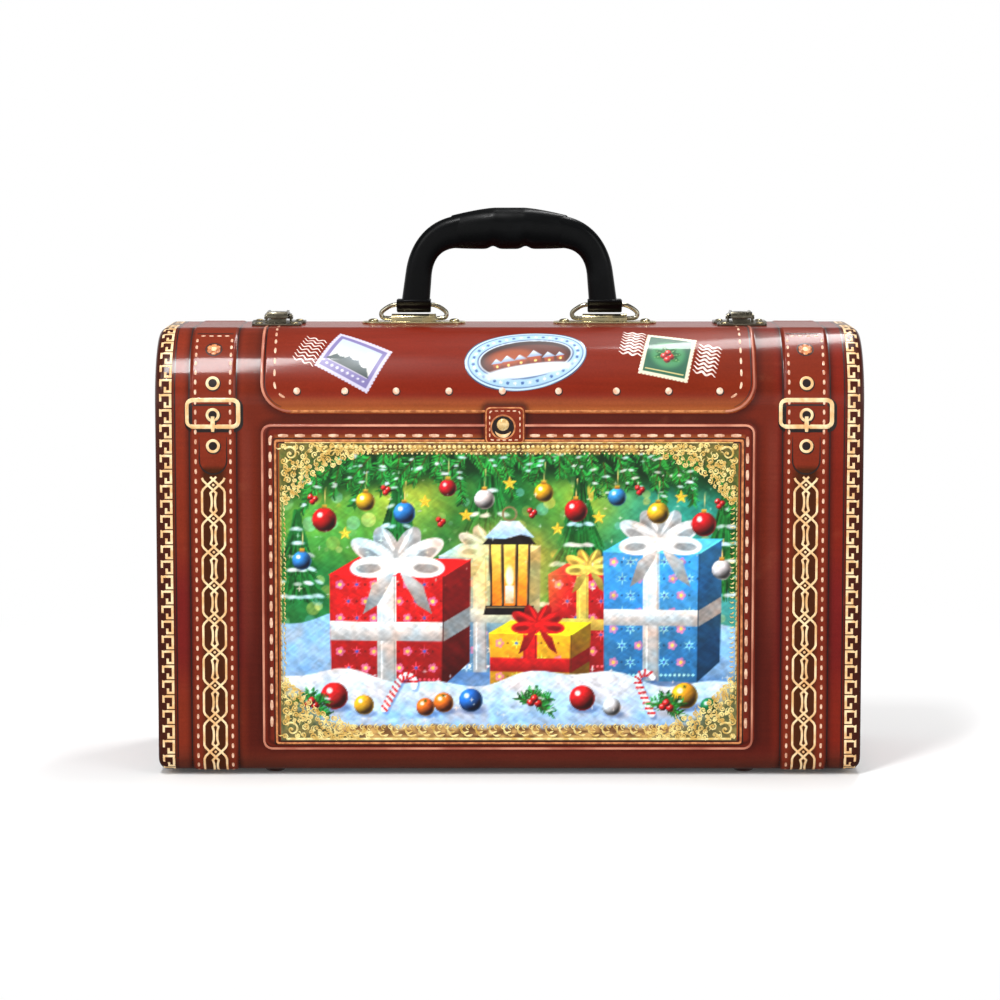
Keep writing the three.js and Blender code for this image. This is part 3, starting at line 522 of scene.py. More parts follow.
def refined(node: str, material: Material, body: str,
            round_off: float = 0.14, sharp: float = 38) -> bpy.types.Object:
    """A finer stand-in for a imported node: the same solid with its edges rounded off.

    Args:
        node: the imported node.
        material: its finish.
        body: the body that carries it.
        round_off: width of the rounding in millimetres.
        sharp: edges that turn by more degrees than this are rounded.

    Returns:
        The new object.
    """
    shape = bmesh.new()
    shape.from_mesh(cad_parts[node].data)
    bmesh.ops.remove_doubles(shape, verts=shape.verts, dist=1e-6)
    bmesh.ops.dissolve_limit(shape, angle_limit=math.radians(1), verts=shape.verts,
                             edges=shape.edges)
    edges = [edge for edge in shape.edges
             if len(edge.link_faces) == 2 and edge.calc_face_angle(0) > math.radians(sharp)]
    bmesh.ops.bevel(shape, geom=edges, offset=round_off * MM, segments=2, profile=0.6,
                    affect="EDGES", clamp_overlap=True)
    corners = np.array([vert.co[:] for vert in shape.verts]) / MM
    faces = [tuple(vert.index for vert in face.verts) for face in shape.faces]
    shape.free()
    return add_piece(f"{node}_fine", corners, faces, [material], body, [node], 50)


# Sheet of the case


class Half(Enum):
    """The two halves of the case; the value is the sign of their y."""

    FRONT = -1
    BACK = 1

    @property
    def body(self) -> str:
        """The body that carries this half."""
        return "lid" if self is Half.FRONT else "case_back"

    @property
    def stand(self) -> float:
        """How far prints and embossing stand out, as a share of the front's."""
        return 1.0 if self is Half.FRONT else 0.22


def inside_depth(x: Array, s: Array, box: Box, radius: float) -> Array:
    """How far places lie inside a rounded rectangle.

    Args:
        x: places across.
        s: places along.
        box: lowest x, highest x, lowest s and highest s.
        radius: corner radius.

    Returns:
        The distance to the edge, negative outside.
    """
    x0, x1, s0, s1 = box
    across = np.abs(x - (x0 + x1) / 2) - (x1 - x0) / 2 + radius
    along = np.abs(s - (s0 + s1) / 2) - (s1 - s0) / 2 + radius
    outside = np.hypot(np.maximum(across, 0), np.maximum(along, 0))
    return radius - outside - np.minimum(np.maximum(across, along), 0)


@dataclass(frozen=True)
class Sheet:
    """The tinplate's outer surface and what is pressed into it."""

    half_width: float = 155.0
    height: float = 194.0
    half_depth: float = 52.0
    top_radius: float = 32.0
    low_radius: float = 7.0
    end_radius: float = 4.0
    foot_height: float = 2.0
    wall: float = 0.4
    seam: float = 0.15
    emboss: float = 0.5
    back_loss: float = 0.08
    slope: float = 1.3
    strap_x: float = 129.5
    strap_width: float = 20.0
    flap: Box = (-107.75, 107.75, -40.0, 73.97)
    flap_corner: float = 13.0
    panel: Box = (-107.75, 107.75, 78.17, 221.37)
    panel_corner: float = 4.4
    tab: Box = (-11.3, 7.1, 70.3, 87.8)
    tab_corner: float = 2.5
    tab_rise: float = 0.35

    @property
    def flat_end(self) -> float:
        """Where the flat top ends."""
        return self.half_depth - self.top_radius

    @property
    def face_start(self) -> float:
        """Where the wide top edge ends and the flat front starts."""
        return self.flat_end + self.top_radius * math.pi / 2

    @property
    def face_end(self) -> float:
        """Where the flat front ends."""
        return self.face_start + self.height - self.top_radius - self.low_radius

    @property
    def bottom_start(self) -> float:
        """Where the low edge ends and the flat bottom starts."""
        return self.face_end + self.low_radius * math.pi / 2

    @property
    def length(self) -> float:
        """From seam to seam."""
        return self.bottom_start + self.half_depth - self.low_radius

    @property
    def end_start(self) -> float:
        """The x at which the rounding to the ends starts."""
        return self.half_width - self.end_radius

    @property
    def end_reach(self) -> float:
        """The x, measured along the sheet, at which that rounding ends."""
        return self.end_start + self.end_radius * math.pi / 2

    def depth_in_strap(self, x: Array) -> Array:
        """Distance inwards from a strap's edge."""
        return self.strap_width / 2 - np.abs(np.abs(x) - self.strap_x)

    def relief(self, x: Array, s: Array, half: Half) -> Array:
        """Height of the embossing.

        Args:
            x: places across.
            s: places along.
            half: which half of the case.

        Returns:
            Heights in millimetres.
        """
        def raised(depth: Array) -> Array:
            """Share of the full height at a depth inside an edge."""
            return smooth(depth / self.slope)

        height = raised(self.depth_in_strap(x))
        extra = np.zeros_like(height)
        if half is Half.FRONT:
            for box, corner in ((self.flap, self.flap_corner), (self.panel, self.panel_corner),
                                (self.tab, self.tab_corner)):
                top = raised(inside_depth(x, s, box, corner))
                height = np.maximum(height, top)
            extra = self.tab_rise * top
        ends = smooth((s - self.flat_end) / 4) * smooth((self.bottom_start - s) / 3)
        depth = self.emboss - (0 if half is Half.FRONT else self.back_loss)
        return (depth * height + extra) * ends

    def place(self, x: Array, s: Array, lift: Array, half: Half) -> Array:
        """Places above the embossed sheet.

        Args:
            x: across, measured along the sheet.
            s: along, from the seam.
            lift: height above the sheet.
            half: which half of the case.

        Returns:
            The places as (count, 3), in millimetres.
        """
        x, s, lift = np.broadcast_arrays(np.asarray(x, float), np.asarray(s, float),
                                         np.asarray(lift, float))
        wide = np.clip((s - self.flat_end) / self.top_radius, 0, math.pi / 2)
        tight = np.clip((s - self.face_end) / self.low_radius, 0, math.pi / 2)
        depth = (np.minimum(s, self.flat_end) + self.top_radius * np.sin(wide)
                 - self.low_radius * (1 - np.cos(tight)) - np.maximum(s - self.bottom_start, 0))
        z = (self.foot_height + self.height - self.top_radius * (1 - np.cos(wide))
             - np.clip(s - self.face_start, 0, self.face_end - self.face_start)
             - self.low_radius * np.sin(tight))
        turn = wide + tight
        out_y, out_z = half.value * np.sin(turn), np.cos(turn)
        end = np.clip((np.abs(x) - self.end_start) / self.end_radius, 0, math.pi / 2)
        inset = self.end_radius * (1 - np.cos(end))
        rise = lift + self.relief(x, s, half)
        side = np.sign(x)
        along_x = (np.clip(x, -self.end_start, self.end_start)
                   + side * (self.end_radius + rise) * np.sin(end))
        flat = rise * np.cos(end) - inset
        return np.stack([along_x, half.value * depth + flat * out_y, z + flat * out_z], -1)


def graded(low: float, high: float, step: float,
           close: Sequence[Place], least: float = 0.14) -> Array:
    """Grid lines between two ends, closer together around some places.

    Args:
        low: first line.
        high: last line.
        step: spacing elsewhere.
        close: (place, reach, spacing) of each closer stretch.
        least: smallest distance between two lines.

    Returns:
        The lines in order.
    """
    lines = np.linspace(low, high, max(2, round((high - low) / step) + 1))
    for place, reach, fine in close:
        lines = lines[np.abs(lines - place) > reach]
        extra = np.arange(-reach, reach + fine / 2, fine) + place
        lines = np.concatenate([lines, extra[(extra > low) & (extra < high)]])
    lines = np.unique(np.concatenate([lines, [low, high]]).round(3))
    kept = [lines[0]]
    for line in lines[1:-1]:
        if line - kept[-1] > least and high - line > least:
            kept.append(line)
    return np.array(kept + [lines[-1]])


def blend(base: Array | Colour, colour: Array | Colour, share: Array) -> Array:
    """Mix a colour into a colour or an array of colours."""
    part = np.clip(share, 0, 1)[..., None]
    return np.asarray(base) * (1 - part) + np.asarray(colour) * part


def layered(base: Array, *layers: tuple[Colour, Array]) -> Array:
    """Mix colours into an array of colours one after the other, each given with its share."""
    for colour, share in layers:
        base = blend(base, colour, share)
    return base


@dataclass(frozen=True)
class LeatherTones:
    """Where the printed leather is lighter and darker, painted shade and a painted sheen included.
    """

    sheet: Sheet
    left: Colour = linear(128, 42, 20)
    right: Colour = linear(122, 30, 14)
    crimson: Colour = linear(112, 22, 22)
    low: Colour = linear(82, 40, 28)
    gap: Colour = linear(104, 32, 12)
    sheen: Colour = linear(126, 56, 44)
    strap: Colour = linear(124, 42, 20)
    flap: Colour = linear(124, 32, 12)
    flap_right: Colour = linear(126, 38, 13)
    tan: Colour = linear(168, 92, 42)
    panel: Colour = linear(112, 34, 18)
    panel_mount: Colour = linear(146, 72, 34)
    border: Colour = linear(58, 24, 14)
    chain_ground: Colour = linear(60, 30, 6)
    dark: Colour = linear(38, 11, 6)
    gap_shade: Colour = linear(62, 14, 12)

    def over(self, x: Array, s: Array, half: Half) -> Array:
        """The print's tones, with painted shade and a painted sheen laid over them.

        Args:
            x: places across.
            s: places along.
            half: which half of the case.

        Returns:
            Linear colours as (count, 3).
        """
        sheet, aside = self.sheet, np.abs(x)
        between = smooth((sheet.strap_x - 10 - aside) / 6)
        glow = np.exp(-((aside - 115.2) / 1.9) ** 2) * smooth((s - 70) / 20)
        strap = sheet.depth_in_strap(x)
        shade = np.where(strap < 0, smooth((3.2 + strap) / 3.2), 0) * smooth((s - 14) / 10)
        chain = smooth((6.4 - np.abs(aside - sheet.strap_x)) / 1.2) * (s > 97)
        tone = layered(
            blend(self.left, self.right, smooth((x + 60) / 150)),
            (self.crimson, 0.85 * smooth((s - 125) / 30) * smooth((206 - s) / 30)),
            # painted shade: the leather darkens towards the low edge and the bottom
            (self.low, 0.85 * smooth((s - 218) / 14)),
            (self.gap, 0.8 * between * smooth((s - 24) / 10) * smooth((226 - s) / 8)),
            # painted shade in the lower part of the gaps between the straps and the flap and panel
            (self.gap_shade, 0.62 * between * smooth((s - 120) / 70) * smooth((232 - s) / 12)),
            (self.sheen, 0.55 * glow * smooth((200 - s) / 60)),
            (self.dark, 0.72 * shade),
            (self.strap, smooth(strap / 0.8) * 0.85),
            # painted shade along the inside of each strap's rounded edge
            (self.dark, 0.45 * smooth((1.6 - strap) / 1.6) * (strap > 0)),
            (self.chain_ground, 0.88 * chain))
        if half is Half.FRONT:
            tone = self._front(tone, x, s)
        return blend(tone, self.border, 0.9 * smooth((aside - 145.6) / 1.2) * (aside < 158))

    def _front(self, tone: Array, x: Array, s: Array) -> Array:
        """The flap, the panel, the tab and their painted shadows."""
        sheet = self.sheet
        flap = inside_depth(x, s, sheet.flap, sheet.flap_corner)
        panel = inside_depth(x, s, sheet.panel, sheet.panel_corner)
        tab = inside_depth(x, s, sheet.tab, sheet.tab_corner)
        tone = layered(tone, (self.dark, 0.6 * smooth((5 + flap) / 5) * (flap < 0)),
                       (self.dark, 0.5 * smooth((4 + panel) / 4) * (panel < 0)))
        low_edge = 0.45 * smooth((s - 65.5) / 4) + 0.5 * smooth((s - 70) / 3)
        body = layered(
            blend(self.flap, self.flap_right, smooth((x - 10) / 90)),
            (self.left, 0.5 * smooth((-50 - x) / 60)),
            (self.gap, 0.4 * smooth((x - 88) / 8) * smooth((64 - s) / 12)),
            (self.tan, low_edge * (flap > 0.3)),
            (self.gap, 0.4 * smooth((3 - flap) / 3) * (s < 66)))
        tone = np.where((flap > 0)[..., None], body, tone)
        mount = layered(blend(self.panel, self.panel_mount, smooth((panel - 4.4) / 1.4)),
                        (self.dark, 0.6 * smooth((1.4 - np.abs(panel - 1.8)) / 1.4)))
        tone = np.where((panel > 0)[..., None], mount, tone)
        tone = blend(tone, self.dark, 0.75 * smooth((3 + tab) / 3) * (tab < 0))
        return np.where((tab > 0)[..., None],
                        blend(self.strap, self.dark, 0.5 * smooth((1.4 - tab) / 1.4)), tone)


@dataclass(frozen=True)
class CaseHalf:
    """One pressed half of the case: sheet, rolled hem and two feet."""

    half: Half
    sheet: Sheet
    node: str
    hem_depth: float = 4.0
    foot_x: float = 104.0
    foot_y: float = 39.0
    foot_radius: float = 6.0
    foot_pad: float = 3.0
    outer_grid: Point = (2.4, 0.34)
    inner_grid: Point = (5.0, 0.6)
    end_shares: tuple[float, ...] = (0.01, 0.06, 0.2, 0.45, 0.75, 1.0)

    def build(self, leather: Material, tin: Material) -> bpy.types.Object:
        """Make the half shell.

        Args:
            leather: the printed outside.
            tin: the bare inside.

        Returns:
            The shell.
        """
        solids = Solids()
        outer, tones = self._skin(0.0, *self.outer_grid)
        solids.loft(outer, closed_rings=False, caps=False)
        printed = len(solids.faces)
        inner, _ = self._skin(-self.sheet.wall, *self.inner_grid)
        solids.loft(inner[::-1], closed_rings=False, caps=False)
        self._add_hem(solids)
        bare = len(solids.faces)
        self._add_feet(solids)
        number = np.zeros(len(solids.faces), np.int32)
        number[printed:bare] = 1
        colours = np.zeros((solids.count, 3)) + np.asarray(LeatherTones(self.sheet).low)
        colours[:len(tones)] = tones
        return add_piece(f"{self.node}_sheet", np.vstack(solids.corners), solids.faces,
                         [leather, tin], self.half.body, [self.node], 50,
                         number, colours)

    def _skin(self, lift: float, step: float, fine: float) -> tuple[Array, Array]:
        """Grid of the sheet from end to end, at a height above its outer surface."""
        sheet = self.sheet
        close_x = [(sign * (sheet.strap_x + side * sheet.strap_width / 2), 2.2, fine)
                   for sign in (-1, 1) for side in (-1, 1)]
        close_s = [(sheet.flat_end + 16, 16, 1.6), (sheet.face_start, 3, 1.0),
                   (sheet.face_end + 6, 7, 0.8)]
        if self.half is Half.FRONT:
            corner = sheet.flap_corner
            for sign in (-1, 1):
                close_x.append((sign * (sheet.flap[1] - corner / 2), corner / 2 + 1, fine * 2))
                close_x.append((sign * sheet.flap[1], 2.2, fine))
                close_x.append((sheet.tab[0 if sign < 0 else 1] - 0.7 * sign, 2.6, fine))
            close_s += [(sheet.flap[3] - corner / 2, corner / 2 + 1.5, fine * 2),
                        (sheet.panel[2] + 1.5, 3.6, fine), (sheet.panel[3] - 1.5, 3.6, fine),
                        (sheet.flap[3], 1.8, fine), (sheet.tab[3] - 1, 2.4, fine),
                        (sheet.tab[2] + 1, 2.4, fine)]
        close_x += [(sign * (sheet.end_start + 3.5), 4, 0.7) for sign in (-1, 1)]
        xs = graded(-sheet.end_reach, sheet.end_reach, step, close_x)
        ss = graded(sheet.seam, sheet.length - sheet.seam, step, close_s)
        grid_x, grid_s = np.meshgrid(xs, ss, indexing="ij")
        places = sheet.place(grid_x, grid_s, lift, self.half)
        tones = LeatherTones(sheet).over(grid_x, grid_s, self.half)
        seam = np.zeros_like(places[0])
        seam[:, 1] = self.half.value * sheet.seam
        reach = path_lengths(places[0])
        seam[:, 2] = np.interp(reach, [0, reach[-1]], [places[0, 0, 2], places[0, -1, 2]])
        ends = []
        for row, tone in ((places[0], tones[0]), (places[-1], tones[-1])):
            target = seam.copy()
            target[:, 0] = row[:, 0]
            ends.append(([row + (target - row) * share for share in self.end_shares],
                         [self._end_tone(tone, share) for share in self.end_shares]))
        all_places = np.array(ends[0][0][::-1] + list(places) + ends[1][0])
        all_tones = np.array(ends[0][1][::-1] + list(tones) + ends[1][1])
        if self.half is Half.FRONT:
            all_places, all_tones = all_places[::-1], all_tones[::-1]
        return all_places, all_tones.reshape(-1, 3)

    def _end_tone(self, tone: Array, share: float) -> Array:
        """Tone of the flat end, from its rim inwards."""
        return blend(tone, LeatherTones(self.sheet).left, np.full(len(tone), share * 4))

    def _add_hem(self, solids: Solids) -> None:
        """The mouth's rolled hem, a flattened roll just inside the sheet."""
        sheet, sign = self.sheet, self.half.value
        loop = MouthLoop(sheet)
        thick = 2 * sheet.wall
        roll = [(0.02, sheet.seam + 0.1), (0.12, sheet.seam), (thick - 0.2, sheet.seam),
                (thick, sheet.seam + 0.3), (thick, self.hem_depth - 0.3),
                (thick - 0.2, self.hem_depth), (sheet.wall, self.hem_depth),
                (sheet.wall, sheet.seam + 0.3)]
        rings = np.array([loop.at(inset, sign * y) for inset, y in roll])
        solids.loft(rings if sign > 0 else rings[::-1], closed_path=True)

    def _add_feet(self, solids: Solids) -> None:
        """Pressed round feet with a flat pad."""
        base = self.sheet.foot_height + self.sheet.wall / 2
        reach = self.foot_radius
        profile = [(0, 0), (self.foot_pad * 0.9, 0), (self.foot_pad + 0.3, 0.1),
                   (self.foot_pad + 1, 0.45), (reach - 1, 1.4), (reach - 0.3, 1.85), (reach, base)]
        for x in (-self.foot_x, self.foot_x):
            solids.lathe(profile, (x, self.half.value * self.foot_y, 0), 40)


@dataclass(frozen=True)
class MouthLoop:
    """The mouth's outline in the plane of the seam."""

    sheet: Sheet
    steps: int = 6

    def at(self, inset: float, y: float, open_below: float | None = None) -> Array:
        """Points of the outline.

        Args:
            inset: distance inwards.
            y: the plane's place.
            open_below: leave the outline open below this height, or None to close it.

        Returns:
            The points, clockwise from the lower left.
        """
        sheet = self.sheet
        radius = max(sheet.end_radius - inset, 0.4)
        half = sheet.half_width - inset - radius
        top = sheet.foot_height + sheet.height - inset - radius
        low = sheet.foot_height + inset + radius
        points = [(-half - radius, open_below)] if open_below is not None else []
        corners = [(-half, low, math.pi * 1.5), (-half, top, math.pi), (half, top, math.pi / 2),
                   (half, low, 0.0)]
        for x, z, start in corners if open_below is None else corners[1:3]:
            for k in range(self.steps + 1):
                turn = start - k / self.steps * math.pi / 2
                points.append((x + radius * math.cos(turn), z + radius * math.sin(turn)))
        if open_below is not None:
            points.append((half + radius, open_below))
        return np.array([(x, y, z) for x, z in points])


@dataclass(frozen=True)
class NeckBand:
    """The springy band inside the back half's mouth, over the top and down both ends."""

    sheet: Sheet
    inset: float = 1.1
    thickness: float = 0.4
    reach: float = 5.0
    low_end: float = 18.0

    def build(self, tin: Material) -> bpy.types.Object:
        """Make the band."""
        loop = MouthLoop(self.sheet)
        thin, reach, lip = self.thickness, self.reach, 0.12
        section = [(0.0, -reach + lip), (0.0, reach - lip), (lip, reach), (thin - lip, reach),
                   (thin, reach - lip), (thin, -reach + lip), (thin - lip, -reach), (lip, -reach)]
        rings = np.array([loop.at(self.inset + depth, y, self.low_end) for depth, y in section])
        solids = Solids()
        solids.loft(rings.transpose(1, 0, 2))
        return solids.piece("neck_band", tin, "case_back", "bare_tin", ["rim_band"], 50)


# What is printed on the sheet


class InkName(Enum):
    """The inks and small pressed ornaments of the print."""

    STITCH = "pale_stitches"
    LINE = "edge_lines"
    GOLD = "gold_ornament"
    DARK = "dark_lines"
    CORD = "cord_lines"
    GILT = "gilt_scrolls"
    DOME = "small_rivets"
    POSTMARK = "postmark_lines"


def walked(path: Sequence[Point], step: float, closed: bool) -> Array:
    """Points along a path, close enough together to follow the sheet.

    Args:
        path: corners of the path.
        step: longest distance between two points.
        closed: the last corner joins the first.

    Returns:
        The points, corners included.
    """
    corners = np.asarray(path, float)
    if closed:
        corners = np.vstack([corners, corners[:1]])
    points = []
    for start, end in zip(corners[:-1], corners[1:]):
        count = max(1, math.ceil(np.linalg.norm(end - start) / step))
        points.extend(start + (end - start) * k / count for k in range(count))
    if not closed:
        points.append(corners[-1])
    return np.array(points)


def arc(x: float, s: float, radius: float, start: float, end: float,
        steps: int = 8) -> list[Point]:
    """Points of an arc; angles are in degrees, from +x towards +s."""
    turns = np.radians(np.linspace(start, end, steps + 1))
    return [(x + radius * math.cos(t), s + radius * math.sin(t)) for t in turns]


def rounded_path(x0: float, x1: float, s0: float, s1: float, radius: float,
                 steps: int = 6) -> list[Point]:
    """A rounded rectangle as a closed path."""
    return (arc(x1 - radius, s0 + radius, radius, -90, 0, steps)
            + arc(x1 - radius, s1 - radius, radius, 0, 90, steps)
            + arc(x0 + radius, s1 - radius, radius, 90, 180, steps)
            + arc(x0 + radius, s0 + radius, radius, 180, 270, steps))


class Print(Solids):
    """Thin closed shapes of one ink, laid on one half of the sheet."""

    def __init__(self, sheet: Sheet, half: Half) -> None:
        """Nothing printed yet."""
        super().__init__(flip=True)
        self.sheet = sheet
        self.half = half
        self.sink = 0.12
        self.clear: Box | None = None

    def _covered(self, points: Array) -> Array:
        """Which points lie where nothing is printed."""
        if self.clear is None:
            return np.zeros(len(points), bool)
        x0, x1, s0, s1 = self.clear
        x, s = points.T
        return (x > x0) & (x < x1) & (s > s0) & (s < s1)

    def _stroke_round(self, points: Array, closed: bool, width: float, lift: float,
                      ridge: float) -> None:
        """Draw only the parts of a line that lie outside the clear place."""
        if closed:
            points = np.roll(points, -int(np.argmax(self._covered(points))), 0)
        covered = np.concatenate([[True], self._covered(points), [True]])
        ends = np.flatnonzero(np.diff(covered))
        for start, stop in zip(ends[::2], ends[1::2]):
            run = points[start:stop]
            if len(run) > 4:
                self.stroke([*run[:-3:4], run[-1]], width, lift, ridge, step=9)

    def stroke(self, path: Sequence[Point], width: float | Sequence[float], lift: float = 0.06,
               ridge: float = 0.0, closed: bool = False, step: float = 1.6) -> None:
        """A line of ink.

        Args:
            path: corners of its middle line in (x, s).
            width: its width, or its widths spread evenly along it.
            lift: height above the sheet.
            ridge: how much higher the middle stands.
            closed: the line joins itself.
            step: longest distance between two points.
        """
        points = walked(path, step, closed)
        if self._covered(points).any():
            self._stroke_round(walked(path, 0.35, closed), closed, float(np.max(width)), lift,
                               ridge)
            return
        if closed:
            ahead = np.roll(points, -1, 0) - points
            behind = points - np.roll(points, 1, 0)
        else:
            ahead = np.diff(points, axis=0, append=2 * points[-1:] - points[-2:-1])
            behind = np.vstack([ahead[:1], ahead[:-1]])
        first = unit(ahead)
        middle = unit(first + unit(behind))
        reach = 1 / np.maximum((middle * first).sum(1), 0.5)
        widths = np.interp(np.linspace(0, 1, len(points)),
                           np.linspace(0, 1, np.size(width)), np.atleast_1d(width))
        aside = np.stack([-middle[:, 1], middle[:, 0]], 1) * (reach * widths / 2)[:, None]
        section = [(1, -self.sink), (1, lift), (0, lift + ridge), (-1, lift), (-1, -self.sink)]
        if not ridge:
            section.pop(2)
        rings = np.array([np.column_stack([points + aside * part, np.full(len(points), height)])
                          for part, height in section])
        self.loft(rings.transpose(1, 0, 2), closed_path=closed)

    def dome(self, x: float, s: float, radius: float, lift: float = 0.06, rise: float = 0.3,
             sides: int = 14) -> None:
        """A small round boss, or a flat dot where its rise is 0."""
        turns = full_turn(sides)
        section = [(1, -self.sink), (1, lift), (0.82, lift + rise * 0.55),
                   (0.5, lift + rise * 0.88), (0.08, lift + rise)]
        self.loft(np.array([np.column_stack([x + radius * share * np.cos(turns),
                                             s + radius * share * np.sin(turns),
                                             np.full(sides, height)])
                            for share, height in section]))

    def stitches(self, path: Sequence[Point], closed: bool, length: float, period: float,
                 width: float) -> None:
        """A row of stitches along a path.

        Args:
            path: corners of the seam.
            closed: the seam joins itself.
            length: length of one stitch.
            period: from one stitch to the next.
            width: width of the thread.
        """
        line = walked(path, 0.4, closed)
        if closed:
            line = np.vstack([line, line[:1]])
        reach = path_lengths(line)
        count = max(1, round(reach[-1] / period))
        for k in range(count):
            start = (k + 0.25) * reach[-1] / count
            at = np.linspace(start, start + length, 4)
            bit = np.column_stack([np.interp(at, reach, side) for side in line.T])
            if not self._covered(bit).any():
                self.stroke(bit, (width * 0.6, width, width, width * 0.6), 0.05, 0.12, step=9)

    def build(self, name: str, material: Material) -> None:
        """Make the piece, if anything was printed."""
        if not self.faces:
            return
        x, s, lift = np.vstack(self.corners).T
        lift = np.where(lift > 0, lift * self.half.stand, lift)
        places = self.sheet.place(x, s, lift, self.half)
        faces = self.faces if self.half is Half.FRONT else [face[::-1] for face in self.faces]
        add_piece(f"{self.half.name.lower()}_{name}", places, faces, [material],
                  self.half.body, sharp=60)


@dataclass
class PrintSet:
    """All inks of one half."""

    sheet: Sheet
    half: Half
    prints: dict[InkName, Print] = field(default_factory=dict)
    clear: Box | None = None

    def __getitem__(self, ink: InkName) -> Print:
        """The print of one ink."""
        drawn = self.prints.setdefault(ink, Print(self.sheet, self.half))
        drawn.clear = self.clear
        return drawn

    def build(self, inks: dict[InkName, Material]) -> None:
        """Make one piece for each ink."""
        for name, drawn in self.prints.items():
            drawn.build(name.value, inks[name])


@dataclass(frozen=True)
class StrapPrint:
    """A strap with its stitches, eyelets, buckle and woven chain."""

    x: float
    stitch_aside: float = 7.6
    tab_top: float = 34.9
    rivet_s: float = 44.0
    eyelets: tuple[float, ...] = (60.7, 74.5, 88.1)
    buckle: Place = (24.4, 66.9, 80.7)
    tongue_tip: float = 100.4
    chain_start: float = 105.2
    chain_end: float = 250.0
    chain_period: float = 14.79
    chain_half: float = 4.95
    edge_aside: float = 10.3
    end: float = 262.0

    def draw(self, prints: PrintSet) -> None:
        """Draw the whole strap."""
        self._edges(prints)
        self._chain(prints[InkName.GOLD])
        if prints.half is Half.FRONT:
            self._tab(prints)
            self._buckle(prints)

    def _edges(self, prints: PrintSet) -> None:
        """Stitch rows, and dark lines of painted shade along the strap's edges."""
        start = self.tab_top + 1.5 if prints.half is Half.FRONT else 22
        for side in (-1, 1):
            x = self.x + side * self.stitch_aside
            prints[InkName.STITCH].stitches([(x, start), (x, self.end)], False, 2.1, 4.31, 1.05)
            edge = self.x + side * self.edge_aside
            prints[InkName.DARK].stroke([(edge, 6), (edge, self.end)], 0.5, 0.03)

    def _tab(self, prints: PrintSet) -> None:
        """The sewn top of the strap and the tongue below the buckle."""
        left, right = self.x - self.stitch_aside, self.x + self.stitch_aside
        prints[InkName.STITCH].stitches([(left + 0.6, self.tab_top), (right - 0.6, self.tab_top)],
                                        False, 1.9, 3.5, 0.95)
        dark = prints[InkName.DARK]
        dark.stroke([(left - 1.6, self.tab_top - 2), (right + 1.6, self.tab_top - 2)], 0.8, 0.03)
        gold = prints[InkName.GOLD]
        for turn in range(6):
            angle = math.radians(turn * 60 + 30)
            prints[InkName.CORD].dome(self.x + 1.9 * math.cos(angle),
                                      self.rivet_s + 1.9 * math.sin(angle), 1.25, 0.05, 0.22, 10)
        gold.dome(self.x, self.rivet_s, 1.3, 0.1, 0.35)
        dark.stroke(arc(self.x, self.rivet_s, 3.5, 0, 330, 22), 0.6, 0.03, closed=True)
        width = self.stitch_aside - 1.6
        tip = arc(self.x, self.tongue_tip - width, width, 0, 180, 16)
        dark.stroke([(self.x + width, 84)] + tip + [(self.x - width, 84)], (0.2, 0.6, 0.7, 0.6, 0.2),
                    0.03)

    def _buckle(self, prints: PrintSet) -> None:
        """Eyelets, frame and prong, each with a painted shadow below and to the right."""
        gold, dark = prints[InkName.GOLD], prints[InkName.DARK]
        for s in self.eyelets:
            # painted shadow under the eyelet
            dark.dome(self.x + 0.2, s + 0.3, 3.4, 0.03, 0.0, 20)
            gold.stroke(arc(self.x, s, 2.45, 0, 345, 23), 1.2, 0.08, 0.28, True)
            dark.dome(self.x, s, 1.9, 0.09, 0.0, 16)
        width, top, low = self.buckle
        frame_path = rounded_path(self.x - width / 2 + 1.1, self.x + width / 2 - 1.1,
                                  top + 1.1, low - 1.1, 2.4, 5)
        shadow = [(x + 0.5, s + 0.8) for x, s in frame_path]
        dark.stroke(shadow, 3.4, 0.03, closed=True)
        gold.stroke(frame_path, 1.85, 0.1, 0.5, True)
        prong = self.eyelets[1] + 0.6
        # painted shadow of the prong
        dark.stroke([(self.x + 0.4, prong + 1), (self.x + 0.4, low + 1.6)], (2.6, 2.2), 0.2)
        gold.stroke([(self.x, prong), (self.x, low - 1), (self.x, low + 1.1)],
                    (1.5, 2.0, 1.2), 0.62, 0.35)

    def _chain(self, gold: Print) -> None:
        """Four strands that cross in a lattice between long links."""
        wide, half = self.chain_half, self.chain_period / 2
        count = int((self.chain_end - self.chain_start) / self.chain_period)
        for k in range(count + 1):
            s = self.chain_start + k * self.chain_period
            for side in (-1, 1):
                strands = (
                    [(-wide, -half), (-wide, -3.1), (-4.4, -1.9), (-2.5, 0.0), (0.0, 2.3),
                     (1.3, 3.6), (0.8, 5.4), (0.7, half)],
                    [(-0.7, -half), (-0.8, -5.4), (-1.3, -3.6), (0.0, -2.3), (2.5, 0.0),
                     (4.4, 1.9), (wide, 3.1), (wide, half)])
                for number, strand in enumerate(strands):
                    path = [(self.x + side * x, s + v) for x, v in strand if k or v > -5]
                    gold.stroke(path, 0.95, 0.06 + 0.05 * number, 0.2)
            gold.dome(self.x, s, 0.6, 0.06, 0.2, 8)


@dataclass(frozen=True)
class KeyBorder:
    """The key pattern down both ends."""

    inner: float = 148.0
    outer: float = 152.4
    start: float = 6.0
    period: float = 6.65
    width: float = 1.05
    line_gap: float = 1.9

    def draw(self, prints: PrintSet) -> None:
        """Draw both borders."""
        gold = prints[InkName.GOLD]
        length = prints.sheet.length
        middle = self.inner + 0.52 * (self.outer - self.inner)
        hook = [(self.outer, 0.42), (self.outer, 0.0), (self.inner, 0.0),
                (self.inner, 0.76), (middle, 0.76), (middle, 0.46)]
        for sign in (-1, 1):
            for k in range(int((length - 16) / self.period)):
                gold.stroke([(sign * x, self.start + (k + share) * self.period)
                             for x, share in hook], self.width, 0.05, 0.1, step=2.2)
            x = sign * (self.inner - self.line_gap)
            prints[InkName.DARK].stroke([(x, self.start), (x, length - 8)], 0.5, 0.03)


